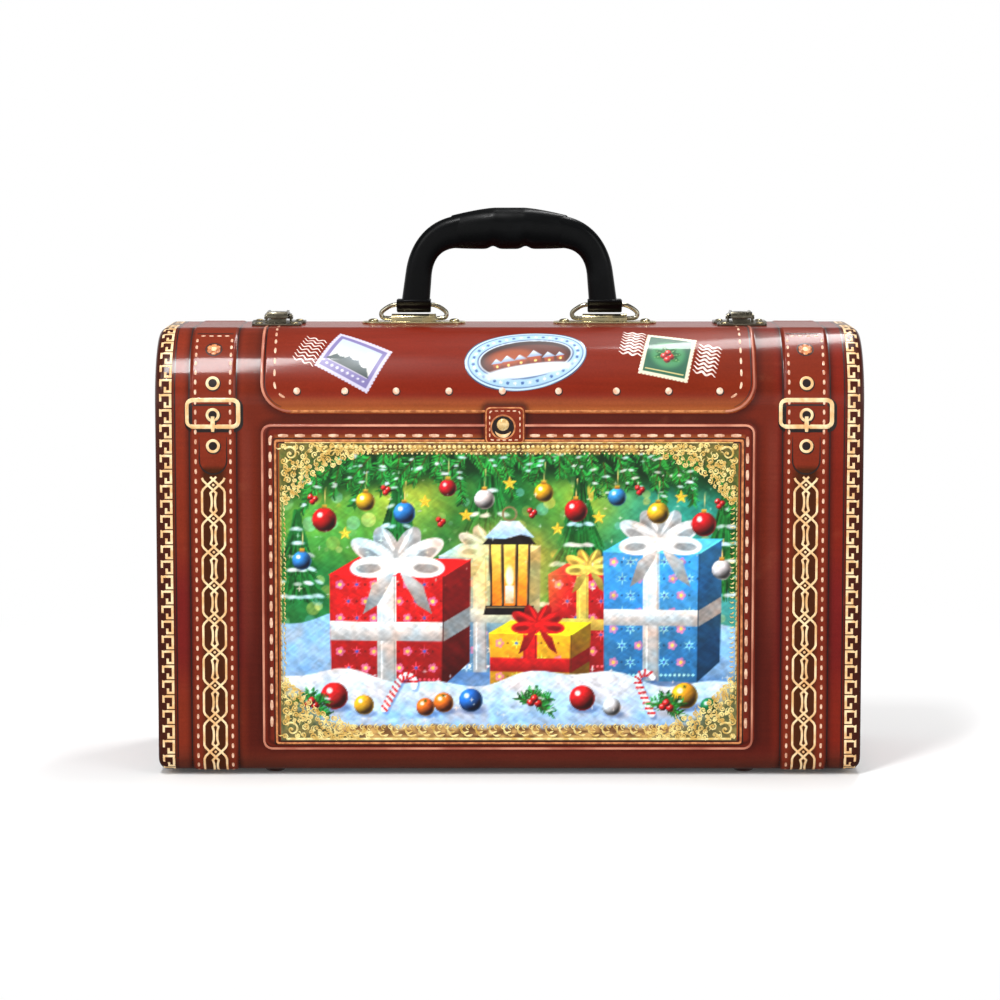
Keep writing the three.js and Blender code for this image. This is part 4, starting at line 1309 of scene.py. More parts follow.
@dataclass(frozen=True)
class FlapPrint:
    """The flap's bright edge, the stitching down its sides and the row of rivets."""

    left: float = -108.2
    right: float = 106.7
    low: float = 72.9
    corner: float = 12.6
    stitch_inset: float = 5.6
    rivet_s: float = 64.1
    rivet_x: tuple[float, ...] = (-92.8, -71.9, -49.5, -26.5, -3.2, 21.3, 46.5, 69.3, 91.6)

    def _side(self, sign: int, inset: float, top: float, bend: float = 90) -> list[Point]:
        """One side of the flap's outline and its lower corner, from the top."""
        radius = self.corner - inset
        edge = self.right - inset if sign > 0 else self.left + inset
        middle = edge - sign * radius
        turn = arc(middle, self.low - inset - radius, radius, 0, bend, 10)
        return [(edge, top)] + [(middle + sign * (x - middle), s) for x, s in turn]

    def draw(self, prints: PrintSet) -> None:
        """Draw the flap."""
        line, dark, stitch = (prints[ink] for ink in (InkName.LINE, InkName.DARK, InkName.STITCH))
        for sign in (-1, 1):
            line.stroke(self._side(sign, 0.0, 6), 1.0, 0.05, 0.12)
            dark.stroke(self._side(sign, 1.3, 6, 70), (0.6, 0.6, 0.2), 0.03)
            stitch.stitches(self._side(sign, self.stitch_inset, 8, 80), False, 3.0, 5.6, 1.0)
        low = [(self.left + self.corner, self.low), (self.right - self.corner, self.low)]
        prints[InkName.CORD].stroke(low, 1.1, 0.1, 0.14)
        for x in self.rivet_x:
            # painted shadow under each rivet, a little below and to the right
            dark.dome(x + 0.15, self.rivet_s + 0.3, 1.8, 0.03, 0.0)
            prints[InkName.DOME].dome(x, self.rivet_s, 1.5, 0.06, 0.55, 18)


@dataclass(frozen=True)
class PanelPrint:
    """The panel's bright edge, the stitching round three sides and the cord lines."""

    edge: Box = (-108.1, 106.7, 79.07, 222.1)
    stitch: Box = (-104.6, 103.9, 83.5, 214.0)
    cord: Box = (-102.4, 101.8, 85.7, 219.6)

    def draw(self, prints: PrintSet) -> None:
        """Draw the panel's rim."""
        x0, x1, s0, s1 = self.stitch
        prints[InkName.LINE].stroke(rounded_path(*self.edge, 3.6), 0.95, 0.05, 0.12, True)
        seam = [(x0, s1)] + arc(x0 + 1, s0 + 1, 1, 180, 270, 3) + arc(
            x1 - 1, s0 + 1, 1, 270, 360, 3) + [(x1, s1)]
        prints[InkName.STITCH].stitches(seam, False, 4.4, 7.3, 1.35)
        x0, x1, s0, s1 = self.cord
        prints[InkName.CORD].stroke(rounded_path(*self.cord, 0.8), 0.9, 0.05, 0.14, True)
        for aside in (-0.85, 0.85):
            path = rounded_path(x0 - aside, x1 + aside, s0 - aside, s1 + aside, 0.8)
            prints[InkName.DARK].stroke(path, 0.5, 0.03, closed=True)


@dataclass(frozen=True)
class GiltFrame:
    """Gilt filigree round the picture: dense corners, beaded bands and trailing leaves."""

    box: Box = (-100.2, 99.6, 87.2, 217.6)
    corner: tuple[float, float] = (40.0, 26.0)
    seed: int = 11

    def draw(self, prints: PrintSet) -> None:
        """Draw the frame."""
        self.corners(prints[InkName.GILT])
        self._bands(prints[InkName.GILT])

    def corners(self, gilt: Print) -> None:
        """Draw the filigree in the four corners."""
        x0, x1, s0, s1 = self.box
        for x, s, across, down in ((x0, s0, 1, 1), (x1, s0, -1, 1), (x0, s1, 1, -1),
                                   (x1, s1, -1, -1)):
            self._corner(gilt, x, s, across, down)

    def _bands(self, gilt: Print) -> None:
        """Beads along the top and the sides, and trailing leaves along the low side."""
        random = np.random.default_rng(self.seed)
        x0, x1, s0, s1 = self.box
        for k in range(round((x1 - x0 - 36) / 2.15)):
            x = x0 + 18 + k * 2.15
            gilt.dome(x, s0 + 1.2, random.uniform(0.7, 0.95), 0.05, 0.4, 10)
            gilt.dome(x + 1.0, s0 + 4.2, random.uniform(0.3, 0.6), 0.05, 0.2, 8)
            gilt.stroke([(x - 0.8, s0 + 3.1), (x + 0.9, s0 + random.uniform(2.2, 2.8))],
                        (0.3, 0.6, 0.3), 0.05, 0.2)
        for k in range(round((x1 - x0 - 44) / 3.1)):
            x = x0 + 22 + k * 3.1
            side = 1 if k % 2 else -1
            self._leaf(gilt, x, s1 - 1.9, random.uniform(3.2, 4.8), 180 + side * 30, 1.2)
            self._leaf(gilt, x + 1.4, s1 - 3.4, random.uniform(2.4, 3.6), 200 - side * 55, 0.9)
            self._scroll(gilt, x + 1.2, s1 - 5.3, 1.1, 90 * side, 1.1 * side, 0.55)
        for x, side in ((x0, 1), (x1, -1)):
            for k in range(round((s1 - s0 - 34) / 2.2)):
                s = s0 + 19 + k * 2.2
                gilt.stroke([(x - 0.1, s), (x + side * 0.3, s + 1.4)], (0.4, 0.9, 0.4), 0.05, 0.3)
                self._leaf(gilt, x + side * 1.2, s, 1.9, 90 - side * random.uniform(20, 70), 0.7)
        for s, width in ((s0 - 0.6, 0.5), (s1 + 0.1, 1.0)):
            gilt.stroke([(x0 + 2, s), (x1 - 2, s)], width, 0.05, 0.25)

    def _scroll(self, gilt: Print, x: float, s: float, radius: float, start: float,
                turns: float, width: float) -> None:
        """A volute that winds in to a small boss."""
        steps = max(9, round(radius * 7))
        path, widths = [], []
        for k in range(steps + 1):
            share = k / steps
            angle = math.radians(start) + share * turns * 2 * math.pi
            reach = radius * (1 - share) ** 0.8 + 0.2
            path.append((x + reach * math.cos(angle), s + reach * math.sin(angle)))
            widths.append(width * (1 - 0.5 * share))
        gilt.stroke(path, widths, 0.05, 0.32, step=9)
        gilt.dome(x, s, width * 0.62, 0.05, 0.4, 8)

    def _leaf(self, gilt: Print, x: float, s: float, length: float, angle: float,
              width: float) -> None:
        """A pointed, slightly curled leaf."""
        path = []
        for k in range(6):
            share = k / 5
            turn = math.radians(angle + 38 * share * share)
            path.append((x + length * share * math.cos(turn), s + length * share * math.sin(turn)))
        gilt.stroke(path, (0.25, width, width * 0.9, width * 0.5, 0.15), 0.05, 0.36, step=9)

    def _corner(self, gilt: Print, x: float, s: float, across: int, down: int) -> None:
        """One corner, packed with small volutes that thin out along both sides."""
        random = np.random.default_rng(self.seed)
        wide, tall = self.corner
        placed: list[Place] = [(4.4, 4.2, 3.0)]
        for _ in range(2600):
            u, v = random.uniform(0.8, wide), random.uniform(0.8, tall)
            room = 1 - (u / wide) ** 0.62 - (v / tall) ** 0.62
            radius = random.uniform(1.0, 2.3) * (0.62 + 0.5 * max(room, 0))
            inside = room > -0.24 or min(u, v) < 2.2
            if inside and all(math.hypot(u - a, v - b) > 0.86 * (radius + r) + 0.3
                              for a, b, r in placed):
                placed.append((u, v, radius))
        for u, v, radius in placed:
            turns = random.choice((-1, 1)) * random.uniform(1.1, 1.5)
            start = random.uniform(0, 360)
            self._scroll(gilt, x + across * u, s + down * v, radius, start, turns,
                         0.42 + 0.22 * radius)
            for _ in range(2 if radius > 1.2 else 1):
                aim = random.uniform(0, 2 * math.pi)
                self._leaf(gilt, x + across * max(u + radius * math.cos(aim), 0.4),
                           s + down * max(v + radius * math.sin(aim), 0.4),
                           random.uniform(1.2, 2.4), random.uniform(0, 360),
                           random.uniform(0.5, 0.85))


@dataclass(frozen=True)
class ClaspTab:
    """The clasp tab's stitching, its dark round recess and the polished ball."""

    x: float = -2.9
    ball_s: float = 78.7
    radius: float = 2.75

    def build(self, prints: PrintSet, gold: Material) -> None:
        """Draw the tab and set the ball.

        Args:
            prints: the front's inks.
            gold: finish of the ball.
        """
        sheet = prints.sheet
        x0, x1, s0, s1 = sheet.tab
        outline = rounded_path(x0 + 2.6, x1 - 2.6, s0 + 2.4, s1 - 2.4, 1.2)
        prints[InkName.STITCH].stitches(outline, True, 1.5, 2.6, 0.6)
        edge = rounded_path(x0 + 1.0, x1 - 1.0, s0 + 1.0, s1 - 1.0, 2.0)
        prints[InkName.CORD].stroke(edge, 0.6, 0.04, 0.1, True)
        dark = prints[InkName.DARK]
        recess = self.ball_s + 1.1
        dark.dome(self.x, recess, 5.0, 0.04, 0.0, 30)
        prints[InkName.CORD].stroke(arc(self.x, recess, 5.2, 0, 350, 35), 0.7, 0.05, 0.2, True)
        prints[InkName.GOLD].stroke(arc(self.x, recess, 3.9, 30, 150, 12),
                                    (0.3, 1.2, 1.6, 1.2, 0.3), 0.08, 0.3)
        y = -(sheet.half_depth + sheet.emboss)
        z = sheet.foot_height + sheet.height - sheet.top_radius - (self.ball_s - sheet.face_start)
        profile = [(self.radius * 0.96, -0.3)]
        for step in range(13):
            turn = step / 12 * math.pi / 2
            profile.append((self.radius * math.cos(turn), 0.15 + 1.1 * math.sin(turn)))
        solids = Solids()
        solids.lathe(profile, (self.x, y, z), 36, Matrix.Rotation(math.pi / 2, 3, "X"))
        solids.piece("clasp_ball", gold, "lid", "printed_tin", sharp=60)


# Painted picture and travel labels


def moved(x: float, y: float, *offsets: Point) -> list[Point]:
    """Places at some offsets from another."""
    return [(x + u, y + v) for u, v in offsets]


class Canvas:
    """A painting in display bytes; x runs right and y runs down, both in millimetres."""

    def __init__(self, width: float, height: float, pixel: float, ground: Colour) -> None:
        """A canvas of one colour.

        Args:
            width: its width.
            height: its height.
            pixel: the fineness that it is painted at.
            ground: its colour.
        """
        self.pixel = pixel
        self.width, self.height = width, height
        self.across = (np.arange(round(width / pixel)) + 0.5) * pixel
        self.down = (np.arange(round(height / pixel)) + 0.5) * pixel
        self.colour = np.zeros((len(self.down), len(self.across), 3)) + np.asarray(ground) / 255

    def _window(self, shape: Sequence[Point], margin: float) -> tuple:
        """The part of the canvas round some points, and the places of its pixels."""
        (x0, y0), (x1, y1) = np.min(shape, 0) - margin, np.max(shape, 0) + margin
        left, right = np.searchsorted(self.across, (x0, x1))
        top, low = np.searchsorted(self.down, (y0, y1))
        x, y = np.meshgrid(self.across[left:right], self.down[top:low])
        return (slice(top, low), slice(left, right)), x, y

    def lay(self, area: tuple, colour: Array | Colour, cover: Array) -> None:
        """Blend a colour into part of the canvas."""
        self.colour[area] = blend(self.colour[area], np.asarray(colour) / 255, cover)

    def _paint(self, area: tuple, colour: Array | Colour, depth: Array, share: float,
               soft: float) -> None:
        """Lay a colour on the inside of an edge that is hard or soft."""
        self.lay(area, colour, smooth(depth / max(soft, self.pixel) + 0.5) * share)

    def blob(self, x: float, y: float, rx: float, ry: float, colour: Colour,
             share: float = 1.0, soft: float = 0.0, turn: float = 0.0) -> None:
        """An ellipse with a hard or a soft edge; turn is in degrees."""
        area, px, py = self._window([(x, y)], max(rx, ry) + soft + 1)
        c, d = heading(turn)
        u, v = (px - x) * c + (py - y) * d, (py - y) * c - (px - x) * d
        depth = (1 - np.hypot(u / rx, v / ry)) * min(rx, ry)
        self._paint(area, colour, depth, share, soft)

    @staticmethod
    def _from_piece(x: Array, y: Array, start: Array, end: Array) -> tuple[Array, Array]:
        """How far along a straight piece places lie, from 0 to 1, and how far away from it."""
        (ax, ay), (ex, ey) = start, end - start
        along = np.clip(((x - ax) * ex + (y - ay) * ey) / (ex * ex + ey * ey + 1e-9), 0, 1)
        return along, np.hypot(x - ax - along * ex, y - ay - along * ey)

    def fill(self, outline: Sequence[Point], colour: Colour, low_colour: Colour | None = None,
             soft: float = 0.3, share: float = 1.0) -> None:
        """A polygon, with a second colour towards its low side if wanted."""
        shape = np.asarray(outline, float)
        area, px, py = self._window(shape, soft + 1)
        distance, inside = np.full(px.shape, 1e9), np.zeros(px.shape, bool)
        for start, end in zip(shape, np.roll(shape, -1, 0)):
            distance = np.minimum(distance, self._from_piece(px, py, start, end)[1])
            (ax, ay), (ex, ey) = start, end - start
            crosses = (ay > py) != (end[1] > py)
            inside ^= crosses & (px < ex * (py - ay) / (ey if ey else 1e-9) + ax)
        if low_colour is not None:
            fall = smooth((py - shape[:, 1].min()) / max(np.ptp(shape[:, 1]), 1e-6))
            colour = blend(colour, low_colour, fall)
        self._paint(area, colour, np.where(inside, distance, -distance), share, soft)

    def box(self, x0: float, x1: float, y0: float, y1: float, colour: Colour,
            low_colour: Colour | None = None, soft: float = 0.3) -> None:
        """An upright rectangle."""
        self.fill([(x0, y0), (x1, y0), (x1, y1), (x0, y1)], colour, low_colour, soft)

    def line(self, points: Sequence[Point], width: float, colour: Colour,
             end_width: float | None = None, share: float = 1.0, soft: float = 0.0) -> None:
        """A brush line that may taper."""
        path = np.asarray(points, float)
        last = width if end_width is None else end_width
        area, px, py = self._window(path, width + 1)
        depth, pieces = np.full(px.shape, -1e9), len(path) - 1
        for k in range(pieces):
            along, away = self._from_piece(px, py, path[k], path[k + 1])
            half = (width + (last - width) * (k + along) / pieces) / 2
            depth = np.maximum(depth, half - away)
        self._paint(area, colour, depth, share, soft)

    def ball(self, x: float, y: float, radius: float, colour: Colour) -> None:
        """A glass ball with a highlight, a bright rim below and a dark side."""
        area, px, py = self._window([(x, y)], radius + 1)
        u, v = (px - x) / radius, (py - y) / radius
        rise = np.sqrt(np.clip(1 - u * u - v * v, 0, 1))
        light = np.clip(-0.5 * u - 0.6 * v + 0.62 * rise, 0, 1)
        base = np.asarray(colour)
        rim = smooth((np.hypot(u - 0.1, v - 0.15) - 0.62) / 0.3) * np.clip(u + v, 0, 1)
        glint = smooth((0.3 - np.hypot(u + 0.36, v + 0.4)) / 0.16)
        paint = layered(base * 0.28 + base * 0.95 * light[..., None],
                        (np.minimum(255, base * 0.7 + 89.25), rim * 0.55),
                        ((255, 255, 247.35), glint * 0.95))
        self.lay(area, paint, (1 - np.hypot(u, v)) * radius / self.pixel + 0.5)

    def star(self, x: float, y: float, radius: float, colour: Colour, points: int = 5,
             waist: float = 0.42, share: float = 1.0) -> None:
        """A star with a lit half to each point."""
        outline = []
        for k in range(points * 2):
            reach = radius if k % 2 == 0 else radius * waist
            turn = math.pi * k / points - math.pi / 2
            outline.append((x + reach * math.cos(turn), y + reach * math.sin(turn)))
        self.fill(outline, colour, None, 0, share)
        for k in range(0, points * 2, 2):
            self.fill([(x, y), outline[k], outline[k + 1]], shaded(colour, 0.7), None, 0,
                      share * 0.6)

    def colours_at(self, x: Array, y: Array) -> Array:
        """Linear colours at places, averaged between pixels."""
        column = np.clip(x / self.pixel - 0.5, 0, len(self.across) - 1.001)
        row = np.clip(y / self.pixel - 0.5, 0, len(self.down) - 1.001)
        return display_light(np.clip(between_knots(self.colour, row, column), 0, 1))


def between_knots(knots: Array, row: Array, column: Array, ease: bool = False) -> Array:
    """Values of a grid at places between its knots.

    Args:
        knots: a number or a colour for each row and column.
        row: places down the grid.
        column: places across the grid.
        ease: go softly from knot to knot.

    Returns:
        The values.
    """
    i, k = row.astype(int), column.astype(int)
    down, across = row - i, column - k
    if ease:
        down, across = smooth(down), smooth(across)
    if knots.ndim == 3:
        down, across = down[..., None], across[..., None]
    top = knots[i, k] * (1 - across) + knots[i, k + 1] * across
    low = knots[i + 1, k] * (1 - across) + knots[i + 1, k + 1] * across
    return top * (1 - down) + low * down


def shaded(colour: Colour, factor: float) -> Colour:
    """A colour made lighter or darker."""
    return tuple(min(255.0, c * factor) for c in colour)


@dataclass
class WinterStillLife:
    """The picture: wrapped gifts in snow before a lit garden, under fir boughs with ornaments."""

    width: float = 203.6
    height: float = 130.4
    pixel: float = 0.25
    seed: int = 5
    frost: Colour = (236, 246, 252)
    shadow: Colour = (70, 96, 150)

    def paint(self) -> Canvas:
        """Paint the whole picture."""
        self.random = np.random.default_rng(self.seed)
        self.canvas = Canvas(self.width, self.height, self.pixel, (72, 132, 82))
        self._backdrop()
        for fir in ((8, 34, 24), (52, 22, 34), (92, 12, 44), (132, 20, 36), (168, 30, 26),
                    (196, 24, 30)):
            self._fir(*fir)
        self._snow(78, (176, 208, 236), (120, 160, 206))
        self._gift(70, 50, 36, 52, (150, 196, 232), (246, 250, 255), 10)
        self._gift(118, 58, 30, 44, (196, 40, 48), (246, 214, 120), 8)
        self._lantern(101, 40)
        self._gift(22, 58, 50, 50, (206, 20, 34), (252, 254, 255), 16)
        self._gift(142, 48, 42, 58, (92, 172, 232), (252, 254, 255), 14)
        self._gift(92, 84, 36, 28, (242, 184, 34), (204, 24, 40), 9)
        self._snow(104, (232, 242, 252), (164, 194, 228))
        self._foreground()
        self._boughs()
        self._brushwork()
        self._border()
        return self.canvas

    def _any(self, low: float, high: float) -> float:
        """A random number between two others."""
        return self.random.uniform(low, high)

    def _cloud(self, across: float, down: float, lean: float = 0) -> Array:
        """Soft random patches between -1 and 1.

        Args:
            across: the patches' length.
            down: their width.
            lean: their angle in degrees.

        Returns:
            A value for each dot of the canvas.
        """
        x, y = np.meshgrid(self.canvas.across, self.canvas.down)
        c, d = heading(lean)
        u, v = (x * c + y * d + 300) / across, (y * c - x * d + 300) / down
        knots = self.random.uniform(-1, 1, (int(v.max()) + 2, int(u.max()) + 2))
        return between_knots(knots, v, u, True)

    def _brushwork(self) -> None:
        """Uneven paint: brush marks both ways, warmer and cooler patches, fuller colours."""
        marks = (self._cloud(4.2, 0.9, 28) + self._cloud(3.4, 0.8, -39)
                 + self._cloud(6, 1.6, 64)) / 3
        colour = self.canvas.colour * (1 + 0.2 * marks)[..., None]
        warmth = 0.06 * self._cloud(9, 7) + 0.04 * self._cloud(3, 3)
        colour = colour * np.stack([1 + warmth, 1 - 0.3 * warmth, 1 - warmth], -1)
        grey = colour.mean(-1, keepdims=True)
        colour = grey + (colour - grey) * 1.2
        self.canvas.colour = np.clip((colour - 0.5) * 1.14 + 0.45, 0, 1)

    def _backdrop(self) -> None:
        """Green, yellow and teal light out of focus."""
        for x, y, radius, colour in (
                (28, 34, 34, (120, 176, 82)), (62, 20, 22, (206, 214, 96)),
                (18, 70, 26, (52, 122, 70)), (104, 34, 34, (42, 108, 58)),
                (140, 22, 24, (168, 196, 88)), (178, 34, 30, (66, 158, 150)),
                (190, 66, 26, (92, 176, 190)), (158, 60, 26, (60, 140, 110))):
            self.canvas.blob(x, y, radius, radius * 0.8, colour, 0.8, radius * 0.9)
        tints = ((250, 244, 170), (190, 232, 190), (255, 216, 120), (170, 226, 236))
        for _ in range(150):
            x, y, radius = self._any(0, self.width), self._any(8, 84), self._any(0.8, 3.4)
            tint = tints[self.random.integers(4)]
            self.canvas.blob(x, y, radius, radius, tint, self._any(0.15, 0.5), 0.5)

    def _fir(self, x: float, top: float, size: float) -> None:
        """One dark fir of ragged tiers with snow on them."""
        canvas, tiers = self.canvas, 6
        for k in range(tiers, 0, -1):
            low = top + size * 1.5 * k / tiers
            half = size * 0.55 * (k / tiers) ** 0.9
            for _ in range(int(26 + half * 7)):
                share = self._any(-1, 1)
                foot = (x + half * share, low + self._any(-1.5, 1.5) - abs(share) * 1.5)
                start = (x + half * share * 0.35, low - size * 0.42)
                tint = shaded((44, 116, 62), self._any(0.5, 1.35))
                canvas.line([start, foot], 1.3, tint, 0.4, 0.8)
            for _ in range(int(half * 0.8)):
                share = self._any(-1, 1)
                canvas.blob(x + half * share * 0.9, low - 1.6 - abs(share), 2.0, 0.8,
                            (226, 240, 248), 0.75, 0.8, share * 24)

    def _snow(self, level: float, light: Colour, shade: Colour) -> None:
        """A drift of snow across the picture."""
        outline = [(0, self.height)]
        for k in range(41):
            x = self.width * k / 40
            outline.append((x, level + 3.2 * math.sin(x / 17 + level) + 1.6 * math.sin(x / 6.3)))
        self.canvas.fill([*outline, (self.width, self.height)], light, shade, 0.6)
        for _ in range(110):
            x, y = self._any(0, self.width), self._any(level + 4, self.height)
            tint = light if self.random.random() < 0.6 else shade
            self.canvas.blob(x, y, self._any(2, 9), self._any(0.5, 1.6), tint, 0.35, 1.0,
                             self._any(-12, 12))

    def _gift(self, x: float, y: float, wide: float, tall: float, paper: Colour,
              ribbon: Colour, bow: float) -> None:
        """A wrapped box seen a little from above and from the left."""
        canvas, right, foot = self.canvas, x + wide, y + tall
        lean, drop = wide * 0.24, wide * 0.13
        canvas.blob(x + wide * 0.6, foot, wide * 0.75, 3.5, (70, 96, 140), 0.5, 4)
        canvas.fill([(x, y), (right, y + 1), (right - 0.6, foot), (x + 0.6, foot - 1)], paper,
                    shaded(paper, 0.72))
        canvas.fill([(right, y + 1), (right + lean, y - drop),
                     (right + lean - 0.6, foot - drop * 1.7), (right - 0.6, foot)],
                    shaded(paper, 0.62), shaded(paper, 0.42))
        canvas.fill([(x, y), (x + lean * 1.1, y - drop * 1.2), (right + lean, y - drop),
                     (right, y + 1)], shaded(paper, 1.22))
        self._pattern(x, y, wide, tall, paper)
        middle, band = x + wide * 0.5, wide * 0.085
        dark, bright = shaded(ribbon, 0.72), shaded(ribbon, 1.1)
        canvas.box(middle - band, middle + band, y, foot - 0.6, ribbon, dark)
        for aside, width, tint, share in ((-0.5, 0.7, 1.1, 0.8), (0.8, 0.5, 0.55, 0.7)):
            at = middle + band * aside
            canvas.line([(at, y + 1), (at, foot - 2)], width, shaded(ribbon, tint), None, share,
                        0.4)
        high, low = y + tall * 0.5 - band, y + tall * 0.5 + band
        canvas.fill([(x + 0.3, high), (right - 0.3, high + 0.6), (right - 0.3, low + 0.6),
                     (x + 0.3, low)], ribbon, dark)
        canvas.fill([(right, high + 0.6), (right + lean - 0.3, high - drop),
                     (right + lean - 0.3, low - drop), (right, low + 0.6)], shaded(ribbon, 0.62))
        canvas.fill([(middle - band, y), (middle + lean - band, y - drop * 1.1),
                     (middle + lean + band, y - drop * 1.1), (middle + band, y)], bright)
        for path, tint in (([(x, y), (right, y + 1), (right + lean, y - drop)], 1.5),
                           ([(right, y + 1), (right - 0.6, foot)], 0.35)):
            canvas.line(path, 0.5, shaded(paper, tint), None, 0.7)
        self._bow(middle + lean * 0.4, y - drop * 0.6, bow, ribbon)

    def _pattern(self, x: float, y: float, wide: float, tall: float, paper: Colour) -> None:
        """Snow stars, small flowers and dots printed on the paper, and a border of dots."""
        canvas, period = self.canvas, 7.4
        pale = tuple(89.25 + 0.65 * c for c in shaded(paper, 1.8))
        for i in range(int(tall / period)):
            for k in range(int(wide / period)):
                px = x + 4.6 + k * period + (3.7 if i % 2 else 0)
                py = y + 4.6 + i * period
                if px > x + wide - 3:
                    continue
                if (i + k) % 2:
                    canvas.star(px, py, 2.9, pale, 6, 0.3, 0.85)
                    canvas.blob(px, py, 0.7, 0.7, (70, 110, 190), 0.9)
                else:
                    for petal in arc(px, py, 1.3, 0, 288, 4):
                        canvas.blob(*petal, 0.85, 0.85, (232, 150, 190), 0.8)
                    canvas.blob(px, py, 0.8, 0.8, (255, 226, 120), 0.95)
                canvas.blob(px + 3.6, py, 0.5, 0.5, shaded(paper, 0.5), 0.8)
        for px in np.arange(x + 1.6, x + wide - 1, 2.0):
            canvas.blob(px, y + tall - 3.2, 0.6, 0.6, pale, 0.9)

    def _bow(self, x: float, y: float, size: float, ribbon: Colour) -> None:
        """A full bow with tails."""
        canvas, dark, bright = self.canvas, shaded(ribbon, 0.6), shaded(ribbon, 1.15)
        for sign in (-1, 1):
            tail = [(x + sign * size * u, y + size * v) for u, v in (
                (0, 0), (0.7, 0.55), (0.95, 1.35), (0.55, 1.1), (0.2, 0.5))]
            canvas.fill(tail, shaded(ribbon, 0.85), dark)
            for turn, reach, tint in ((-62, 0.95, 0.74), (-28, 1.15, 0.9), (4, 1.05, 1.0)):
                angle, loop = math.radians(turn), size * 0.62 * reach
                cx, cy = x + sign * math.cos(angle) * loop, y + math.sin(angle) * loop
                canvas.blob(cx, cy, loop, size * 0.3, shaded(ribbon, tint), 1, 0.4, sign * turn)
                canvas.blob(cx + sign * size * 0.14, cy + size * 0.04, size * 0.34, size * 0.13,
                            dark, 0.85, 0.7, sign * turn)
                canvas.blob(cx - sign * size * 0.05, cy - size * 0.16, size * 0.4, size * 0.06,
                            bright, 0.9, 0.6, sign * turn)
        canvas.blob(x, y, size * 0.24, size * 0.2, ribbon, 1, 0.3)
        canvas.blob(x - size * 0.06, y - size * 0.06, size * 0.1, size * 0.07, bright, 1, 0.5)

    def _lantern(self, x: float, y: float) -> None:
        """A lit lantern with a snowy roof."""
        canvas, iron, edge = self.canvas, (52, 44, 44), (150, 128, 96)
        canvas.blob(x, y + 16, 24, 22, (255, 214, 110), 0.55, 20)
        canvas.fill(moved(x, y, (-9, 4), (9, 4), (8, 32), (-8, 32)), (255, 226, 130),
                    (240, 140, 40))
        canvas.blob(x, y + 19, 1.8, 4.6, (255, 252, 220), 1, 1.2)
        canvas.box(x - 2, x + 2, y + 23, y + 31, (250, 246, 232), (220, 190, 150))
        for dx in (-8.6, -3.2, 3.2, 8.6):
            canvas.line([(x + dx, y + 4), (x + dx * 0.93, y + 32)], 1.1, iron)
            canvas.line([(x + dx - 0.3, y + 5), (x + dx * 0.93 - 0.3, y + 31)], 0.35, edge)
        canvas.fill(moved(x, y, (-12, 5), (-4, -4), (4, -4), (12, 5)), iron, soft=0)
        canvas.fill(moved(x, y, (-11, 2), (-4, -5.5), (4, -5.5), (11, 2), (5, 0.5), (-2, 2.4)),
                    (238, 246, 252), (190, 214, 240), 0.5)
        canvas.line(arc(x, y - 8.6, 3.0, 0, 360, 20), 0.8, edge)
        canvas.fill(moved(x, y, (-10.5, 32), (10.5, 32), (11.5, 36), (-11.5, 36)), iron)
        canvas.line([(x - 10, y + 32.6), (x + 10, y + 32.6)], 0.6, edge)

    def _foreground(self) -> None:
        """Striped sweets, oranges, ornaments, sprigs and berries lying in the snow."""
        canvas = self.canvas
        for x, y, radius, tint in (
                (24, 112, 6.0, (214, 30, 44)), (37, 116, 4.4, (236, 184, 56)),
                (84, 114, 5.2, (60, 128, 206)), (133, 113, 5.6, (212, 34, 46)),
                (146, 117, 4.0, (240, 244, 250)), (178, 112, 5.8, (236, 178, 48)),
                (189, 117, 4.2, (44, 132, 88)), (64, 117, 4.0, (240, 130, 36)),
                (72, 115, 4.4, (244, 140, 40))):
            canvas.blob(x + 1, y + radius * 0.85, radius * 1.1, radius * 0.35, self.shadow, 0.5,
                        1.5)
            canvas.ball(x, y, radius, tint)
            if tint[0] > 229 and tint[2] < 51:
                canvas.star(x, y - radius * 0.7, 1.0, (60, 110, 40), 5, 0.4)
        self._cane(50, 110, 28)
        self._cane(160, 112, -24)
        for x, y in ((112, 115), (170, 117), (14, 116)):
            for turn in (-150, -95, -30, 20):
                self._twig(x, y, 8, turn)
            for place in moved(x, y, (-1.6, 0), (1.6, 0.4), (0, -1.8)):
                canvas.ball(*place, 1.7, (214, 24, 36))
        for _ in range(46):
            x, y = self._any(4, self.width - 4), self._any(100, 126)
            canvas.star(x, y, self._any(0.6, 1.5), WHITE, 4, 0.25, 0.85)

    def _cane(self, x: float, y: float, turn: float) -> None:
        """A striped sweet with a crook."""
        canvas, (c, d) = self.canvas, heading(turn)
        path = [(0, 9), (0, -6)] + [(3.4 - 3.4 * math.cos(t), -6 - 3.4 * math.sin(t))
                                    for t in np.linspace(0.2, math.pi, 9)]
        placed = np.array([(x + u * c - v * d, y + u * d + v * c) for u, v in path])
        canvas.line(placed + (0.8, 0.9), 3.0, self.shadow, None, 0.45, 1.0)
        canvas.line(placed, 2.8, (250, 250, 250))
        line = walked(placed, 0.5, False)
        for k in range(0, len(line) - 4, 5):
            ahead = line[k + 2] - line[k]
            aside = np.array([-ahead[1], ahead[0]]) * 1.3 / np.linalg.norm(ahead)
            canvas.line([line[k] + aside, line[k + 2] - aside], 1.0, (206, 30, 40))
        canvas.line(placed - (0.5, 0.3), 0.5, WHITE, None, 0.6, 0.4)

